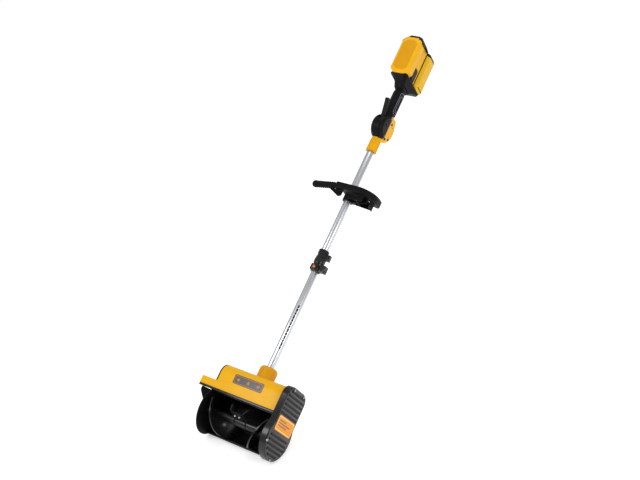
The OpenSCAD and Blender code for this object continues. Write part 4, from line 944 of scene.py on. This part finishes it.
def make_power_head(sizes):
    low, high = span("front_cover")
    rounded("front_cover", 2.0 * MM, "abs_yellow_semi_gloss", segments=4)
    rounded("head_core", 1.6 * MM, "abs_yellow_semi_gloss")
    base_low = span("head_base")[0]

    def waist(point):
        """Draws the cup in below its rim, as a wine glass is."""
        rise = min(1.0, max(0.0, (point.z - base_low.z) / (low.z + 0.002 - base_low.z)))
        share = 1 - CROWN * max(0.0, math.sin(math.pi * rise)) ** 1.3
        core_y, core_x, core_deep = 0.012, 0.021, 0.027
        x, y = point.x, point.y - core_y
        if abs(x) > core_x:
            x = math.copysign(max(core_x, abs(x) * share), x)
        if abs(y) > core_deep:
            y = math.copysign(max(core_deep, abs(y) * share), y)
        return Vector((x, core_y + y, point.z))

    melted(["head_base"], 1.3 * MM, 16, "nylon_black_fine_texture", bend=waist)
    rounded("end_cap", 1.6 * MM, "nylon_black_fine_texture")
    rounded("battery_dock", 0.6 * MM)
    # A raised octagonal field on the cover's front face in the darker yellow of painted shade, with a pale line
    # round it
    mid_z, half_x, half_z = (low.z + high.z) / 2 - 0.003, high.x - 0.0115, (high.z - low.z) / 2 - 0.014
    cut = 0.014
    flank = [(half_x - cut, -half_z), (half_x, -half_z + cut), (half_x, half_z - cut), (half_x - cut, half_z)]
    corners = flank + [(-a, b) for a, b in flank[::-1]]
    field = [[(a * share, low.y + depth, mid_z + b * share) for a, b in corners]
             for depth, share in ((0.0006, 0.97), (-0.0002, 0.97), (-0.0006, 0.95))]
    settle(smooth(lofted("front_cover_field", field)), "power_head", "pod_yellow", "abs_yellow_painted_shade")
    line = [(a, low.y - 0.0001, mid_z + b) for a, b in corners]
    bars("front_cover_line", [line], 1.6 * MM, 0.9 * MM, (0, -1, 0), "power_head", "pod_yellow",
         "abs_pale_yellow", closed=True)
    # Black band that carries the cap over the cover's top corners
    top, chamfer, thick = high.z, sizes.lobe_corner, sizes.band
    reach = high.x
    inside = [(-reach, top - chamfer - 0.004), (-reach, top - chamfer), (-reach + chamfer, top),
              (reach - chamfer, top), (reach, top - chamfer), (reach, top - chamfer - 0.004)]
    outside = [(a * (1 + thick / reach), b + thick * 0.9) for a, b in inside[::-1]]
    outside[0] = (outside[0][0], inside[-1][1])
    outside[-1] = (outside[-1][0], inside[0][1])
    band = []
    for y, grow_out in ((low.y + 0.0095, 0.0), (low.y + 0.0115, 1.0), (high.y - 0.002, 1.0), (high.y, 0.6)):
        ring = [(a, y, b - 0.0012) for a, b in inside]
        ring += [(a - (1 - grow_out) * thick * 0.8 * (1 if a > 0 else -1), y, b - (1 - grow_out) * thick * 0.8)
                 for a, b in outside]
        band.append(ring)
    settle(smooth(lofted("cover_band", band), 30), "power_head", "handle_black", "nylon_black_fine_texture")
    # Dark intake slots low in each side of the channel between the two lobes
    core_low, core_high = span("head_core")
    for side, mark in ((-1, "left"), (1, "right")):
        x = side * core_high.x
        tongue = [[(x + side * depth, -0.002 + a, core_low.z + 0.03 + b)
                   for a, b in rounded_rectangle(0.019 - cut, 0.031 - cut, 0.009)]
                  for depth, cut in ((-0.001, 0.0), (0.0016, 0.0), (0.0022, 0.0008))]
        settle(smooth(lofted("core_tongue_" + mark, tongue)), "power_head", "handle_black",
               "nylon_black_fine_texture")
        slots = [[(x + side * 0.0021, y, core_low.z + 0.016 + 0.0075 * k) for y in (-0.014, 0.01)] for k in range(6)]
        bars("core_vents_" + mark, slots, 3.0 * MM, 1.6 * MM, (side, 0, 0), "power_head", "handle_black",
             "nylon_black_polished")
    board_low, board_high = span("controller_board")
    rounded("controller_board", 0.3 * MM, segments=2)
    sinks = [[(7 * k * MM - 0.0175, board_high.y - 0.0262, board_low.z + up) for up in (0.012, 0.024)]
             for k in range(6)]
    bars("controller_heat_sinks", sinks, 4 * MM, 1.2 * MM, (0, -1, 0), "power_head", "board_green",
         "epoxy_component_black")


def make_battery():
    low, high = span("battery_case")
    rounded("battery_case", 1.8 * MM, "abs_pale_yellow", segments=4)
    rounded("battery_cap", 2.2 * MM, "nylon_black_fine_texture", segments=4)
    rounded("battery_latch", 0.7 * MM, "abs_red_latch")
    rounded("battery_cells", 0.6 * MM, "shrink_sleeve_blue")
    for side, mark in ((-1, "left"), (1, "right")):
        x = side * high.x
        # A pebbled patch low on each flank, for the hand that pulls the pack off
        pitch, dots = 4.9 * MM, []
        for row in range(6):
            for k in range(9):
                y = 0.049 + (k + row % 2 / 2) * pitch
                z = low.z + 0.018 + row * pitch
                dots.append([(x - side * 0.0004, y, z), (x - side * 0.0004, y + 0.0022, z)])
        bars("battery_pebbles_" + mark, dots, 2.2 * MM, 1.6 * MM, (side, 0, 0), "battery", "battery_yellow",
             "abs_pale_yellow")
        # Dark rubber bumper along the foot of each flank
        foot = [(x - side * 0.0006, y, low.z + 0.0115) for y in (0.05, 0.092)]
        bars("battery_bumper_" + mark, [foot], 4.5 * MM, 2.4 * MM, (side, 0, 0), "battery", "handle_black",
             "rubber_overmould")
    # Nickel strips join the cells at both ends
    cells_low, cells_high = span("battery_cells")
    strips = [[(x, cells_low.y + 0.006, z), (x, cells_high.y - 0.006, z)]
              for z in (cells_low.z - 0.0001, cells_high.z + 0.0001) for x in (-0.0225, 0.0, 0.0225)]
    bars("battery_strips", strips, 6 * MM, 0.4 * MM, (0, 0, 1), "battery", "shaft_steel", "nickel_strip",
         corner=0.1 * MM)


def make_motor():
    low, high = span("stator")
    rounded("stator", 0.3 * MM, segments=2)
    for node in ("rotor", "motor_shaft", "cooling_fan"):
        rounded(node, 0.4 * MM, segments=2)
    # Copper coils stand proud of the laminations at each end
    shape = gathered([realise("coils", "ring", {
        "Count": 12, "Ring radius": high.x * 0.8, "Height": z, "Bead": (0.0032, 0.0042, 0.0042)},
        "copper_enamelled", place=None) for z in (low.z, high.z)])
    settle(smooth(piece("stator_coils", shape)), "power_head", "stator_copper", "copper_enamelled")


def make_screws(sizes):
    """Every visible screw head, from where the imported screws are."""
    for node, body, finish in (("attachment_screws", "attachment", "steel_zinc_plated"),
                               ("housing_screws", "power_head", "steel_black_oxide")):
        spots, turns = [], []
        height = sizes.screw_height
        for low, high in loose_boxes(node):
            size, middle = high - low, (low + high) / 2
            axis = min(range(3), key=lambda i: size[i])
            if axis == 0:
                side = 1 if middle.x > 0 else -1
                spots.append(Vector((middle.x - side * size.x / 2 + side * height / 2, middle.y, middle.z)))
                turns.append((0.0, side * math.pi / 2, 0.0))
            else:
                spots.append(Vector((middle.x, middle.y, high.z - height * 0.75)))
                turns.append((0.0, 0.0, 0.0))
        screws = realise(node + "_finished", "screws", {
            "Head radius": sizes.screw_radius, "Head height": height, "Recess": 1.9 * MM}, finish,
            point_mesh(spots, turns))
        settle(screws, body, SLOT_OF[node], finish, node)


# ---------- stage ----------

def make_stage(light):
    scene = bpy.context.scene
    scene.view_settings.view_transform = "Standard"
    low, high = CAD_BOX
    centre = (low + high) / 2
    # Pale paper sweep: matt, with a faint fibre mottle
    tree, where, shader = shop("paper_sweep_matt")
    feed(tree, shader, {
        "Base Color": blend(tree, noise(tree, where, 60, 5.0), "#F1F1F0", "#F6F6F5"), "Roughness": 0.95,
        "Emission Color": linear("#FFFFFF"), "Emission Strength": light.glow, "Specular IOR Level": 0.15})
    sheet = bmesh.new()
    bmesh.ops.create_grid(sheet, x_segments=4, y_segments=4, size=30)
    bmesh.ops.translate(sheet, vec=(centre.x, centre.y, low.z - 0.0005), verts=sheet.verts)
    floor = piece("floor", sheet, None)
    paint(floor, "paper_sweep_matt")
    world = bpy.data.worlds.new("studio")
    world.use_nodes = True
    feed(world.node_tree, world.node_tree.nodes["Background"], {"Color": linear("#FFFFFF"), "Strength": light.fill})
    scene.world = world
    for name, spot, size, power in (
            ("key_softbox", (-1.6, -2.6, 3.2), 1.8, light.key),
            ("side_softbox", (3.4, -0.6, 1.9), 1.4, light.side),
            ("top_softbox", (0.4, 1.6, 3.8), 2.4, light.top)):
        lamp = bpy.data.lights.new(name, "AREA")
        lamp.shape = "DISK"
        lamp.size = size
        lamp.energy = power
        obj = bpy.data.objects.new(name, lamp)
        obj.location = spot
        obj.rotation_euler = (centre - Vector(spot)).to_track_quat("-Z", "Y").to_euler()
        scene.collection.objects.link(obj)
    camera = bpy.data.objects.new("camera", bpy.data.cameras.new("camera"))
    camera.data.lens = light.lens
    camera.data.sensor_width = 36
    camera.location = light.camera
    camera.rotation_euler = (Vector(light.target) - camera.location).to_track_quat("-Z", "Y").to_euler()
    camera.data.clip_end = 100
    scene.collection.objects.link(camera)
    scene.camera = camera


# ---------- settings, operators and panel ----------

def number(name, description, default, **more):
    return bpy.props.FloatProperty(name=name, description=description, default=default, **more)


def length(name, description, default, low=0.0, high=1.0):
    return number(name, description, default, min=low, max=high, subtype="DISTANCE", unit="LENGTH", precision=4)


def wattage(name, description, default):
    return number(name, description, default, min=0, subtype="POWER", unit="POWER")


def colour(name, description, default):
    return bpy.props.StringProperty(name=name, description=description + ", as sRGB hex", default=default)


def position(name, description, default):
    return bpy.props.FloatVectorProperty(name=name, description=description, size=3, default=default,
                                         subtype="TRANSLATION", unit="LENGTH")


class ShovelSizes(bpy.types.PropertyGroup):
    edge: length("Moulded edge", "Radius of the scoop's edges", 0.8 * MM)
    cover_corner: length("Cover corner", "Radius of the belt cover's top corners", 38 * MM)
    cover_edge: length("Cover edge", "Radius of the belt cover's outer edge", 4.5 * MM)
    rib_pitch: length("Rib pitch", "Distance between ribs on the belt cover", 16 * MM, 0.008, 0.04)
    rib_width: length("Rib width", "Width of each rib on the belt cover", 9 * MM)
    rib_height: length("Rib height", "How far each rib stands proud", 2 * MM)
    rib_inset: length("Rib inset", "Distance from a rib's end to the cover's edge", 12 * MM)
    flight_edge: length("Flight edge", "Thickness of the auger's rubbing edge", 5.2 * MM)
    first_angle: number("Paddle angle", "Angle of the centre paddle, in degrees", 15.5)
    flight_turn: number("Flight turn", "How far each flight turns, in degrees", 200.0)
    print_side: number("Print side", "How far round the tube the printed marks sit", 0.5, min=-1, max=1)
    grip_droop: number("Grip droop", "Angle that the front grip drops by, in degrees", 9.0)
    lobe_corner: length("Cover corner cut", "Cut across the front cover's corners", 16 * MM)
    band: length("Cap band", "Thickness of the band over the front cover", 3 * MM)
    screw_radius: length("Screw head radius", "Radius of each pan head", 4.5 * MM)
    screw_height: length("Screw head height", "Height of each pan head", 2.2 * MM)


class ShovelColours(bpy.types.PropertyGroup):
    yellow: colour("Yellow", "Yellow mouldings", "#E9AE02")
    black: colour("Black", "Black mouldings", "#101012")
    label: colour("Label", "Label film", "#EC9A14")


class ShovelStage(bpy.types.PropertyGroup):
    camera: position("Camera", "Where the camera stands", (1.7904, -2.2771, 2.2139))
    target: position("Target", "What the camera looks at", (0.0759, 0.3843, 0.6605))
    lens: number("Lens", "Focal length in millimetres", 56.78, min=20)
    fill: number("Fill", "Strength of the white room", 0.62, min=0)
    glow: number("Paper glow", "Light that comes through the paper sweep", 0.42, min=0)
    key: wattage("Key light", "Power of the main softbox", 60.0)
    side: wattage("Side light", "Power of the side softbox", 30.0)
    top: wattage("Top light", "Power of the overhead softbox", 30.0)


class SHOVEL_OT_materials(bpy.types.Operator):
    """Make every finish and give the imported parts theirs"""
    bl_idname = "shovel.materials"
    bl_label = "Finishes"

    def execute(self, context):
        make_materials(context.scene.shovel_colours)
        paint_nodes()
        return {"FINISHED"}


class SHOVEL_OT_scoop(bpy.types.Operator):
    """Make the scoop, its left side, hood, lip, neck and badge"""
    bl_idname = "shovel.scoop"
    bl_label = "Scoop and hood"

    def execute(self, context):
        make_scoop(context.scene.shovel_sizes)
        return {"FINISHED"}


class SHOVEL_OT_belt_cover(bpy.types.Operator):
    """Make the ribbed belt cover, its rim and its label"""
    bl_idname = "shovel.belt_cover"
    bl_label = "Belt cover"

    def execute(self, context):
        make_belt_cover(context.scene.shovel_sizes)
        return {"FINISHED"}


class SHOVEL_OT_auger(bpy.types.Operator):
    """Make the auger's flights, hub, collars and paddle"""
    bl_idname = "shovel.auger"
    bl_label = "Auger"

    def execute(self, context):
        make_auger(context.scene.shovel_sizes)
        return {"FINISHED"}


class SHOVEL_OT_drive(bpy.types.Operator):
    """Make the gearbox, gears, pulleys, belt cogs, drive shafts and bearing balls"""
    bl_idname = "shovel.drive"
    bl_label = "Drive"

    def execute(self, context):
        make_drive()
        make_bearings()
        return {"FINISHED"}


class SHOVEL_OT_tubes(bpy.types.Operator):
    """Make the two shaft tubes and the marks printed on the lower one"""
    bl_idname = "shovel.tubes"
    bl_label = "Tubes"

    def execute(self, context):
        make_tubes(context.scene.shovel_sizes)
        return {"FINISHED"}


class SHOVEL_OT_coupler(bpy.types.Operator):
    """Make the coupler, its knob, button and bands"""
    bl_idname = "shovel.coupler"
    bl_label = "Coupler"

    def execute(self, context):
        make_coupler()
        return {"FINISHED"}


class SHOVEL_OT_loop_handle(bpy.types.Operator):
    """Make the front loop handle, its grip, clamp and knob"""
    bl_idname = "shovel.loop_handle"
    bl_label = "Loop handle"

    def execute(self, context):
        make_loop_handle(context.scene.shovel_sizes)
        return {"FINISHED"}


class SHOVEL_OT_rear_handle(bpy.types.Operator):
    """Make the rear handle's halves, pod, collar and grip panels"""
    bl_idname = "shovel.rear_handle"
    bl_label = "Rear handle"

    def execute(self, context):
        make_rear_handle()
        return {"FINISHED"}


class SHOVEL_OT_controls(bpy.types.Operator):
    """Make the lock-off lever, trigger, pins, switch and spring"""
    bl_idname = "shovel.controls"
    bl_label = "Controls"

    def execute(self, context):
        make_controls()
        return {"FINISHED"}


class SHOVEL_OT_power_head(bpy.types.Operator):
    """Make the power head's housings, vents and controller board"""
    bl_idname = "shovel.power_head"
    bl_label = "Power head"

    def execute(self, context):
        make_power_head(context.scene.shovel_sizes)
        return {"FINISHED"}


class SHOVEL_OT_battery(bpy.types.Operator):
    """Make the battery's case, cap, latch, cells and strips"""
    bl_idname = "shovel.battery"
    bl_label = "Battery"

    def execute(self, context):
        make_battery()
        return {"FINISHED"}


class SHOVEL_OT_motor(bpy.types.Operator):
    """Make the motor's core, coils, rotor, shaft and fan"""
    bl_idname = "shovel.motor"
    bl_label = "Motor"

    def execute(self, context):
        make_motor()
        return {"FINISHED"}


class SHOVEL_OT_screws(bpy.types.Operator):
    """Make every screw head"""
    bl_idname = "shovel.screws"
    bl_label = "Screws"

    def execute(self, context):
        make_screws(context.scene.shovel_sizes)
        return {"FINISHED"}


class SHOVEL_OT_stage(bpy.types.Operator):
    """Make the floor, the soft lights and the camera"""
    bl_idname = "shovel.stage"
    bl_label = "Stage"

    def execute(self, context):
        make_stage(context.scene.shovel_stage)
        return {"FINISHED"}


STEPS = (SHOVEL_OT_materials, SHOVEL_OT_stage, SHOVEL_OT_scoop, SHOVEL_OT_belt_cover, SHOVEL_OT_auger,
         SHOVEL_OT_drive, SHOVEL_OT_tubes, SHOVEL_OT_coupler, SHOVEL_OT_loop_handle, SHOVEL_OT_rear_handle,
         SHOVEL_OT_controls, SHOVEL_OT_power_head, SHOVEL_OT_battery, SHOVEL_OT_motor, SHOVEL_OT_screws)


class SHOVEL_PT_panel(bpy.types.Panel):
    """Sizes, colours and steps of the snow shovel"""
    bl_idname = "SHOVEL_PT_panel"
    bl_label = "Snow shovel"
    bl_space_type = "VIEW_3D"
    bl_region_type = "UI"
    bl_category = "Snow shovel"

    def draw(self, context):
        layout = self.layout
        for settings in (context.scene.shovel_sizes, context.scene.shovel_colours, context.scene.shovel_stage):
            column = layout.column(align=True)
            for key in settings.__annotations__:
                column.prop(settings, key)
        for step in STEPS:
            layout.operator(step.bl_idname)


CLASSES = (ShovelSizes, ShovelColours, ShovelStage, *STEPS, SHOVEL_PT_panel)


def register():
    for kind in CLASSES:
        bpy.utils.register_class(kind)
    bpy.types.Scene.shovel_sizes = bpy.props.PointerProperty(type=ShovelSizes)
    bpy.types.Scene.shovel_colours = bpy.props.PointerProperty(type=ShovelColours)
    bpy.types.Scene.shovel_stage = bpy.props.PointerProperty(type=ShovelStage)


def unregister():
    del bpy.types.Scene.shovel_sizes
    del bpy.types.Scene.shovel_colours
    del bpy.types.Scene.shovel_stage
    for kind in reversed(CLASSES):
        bpy.utils.unregister_class(kind)


def main():
    register()
    for step in STEPS:
        group, name = step.bl_idname.split(".")
        getattr(getattr(bpy.ops, group), name)()


if __name__ == "__main__":
    main()
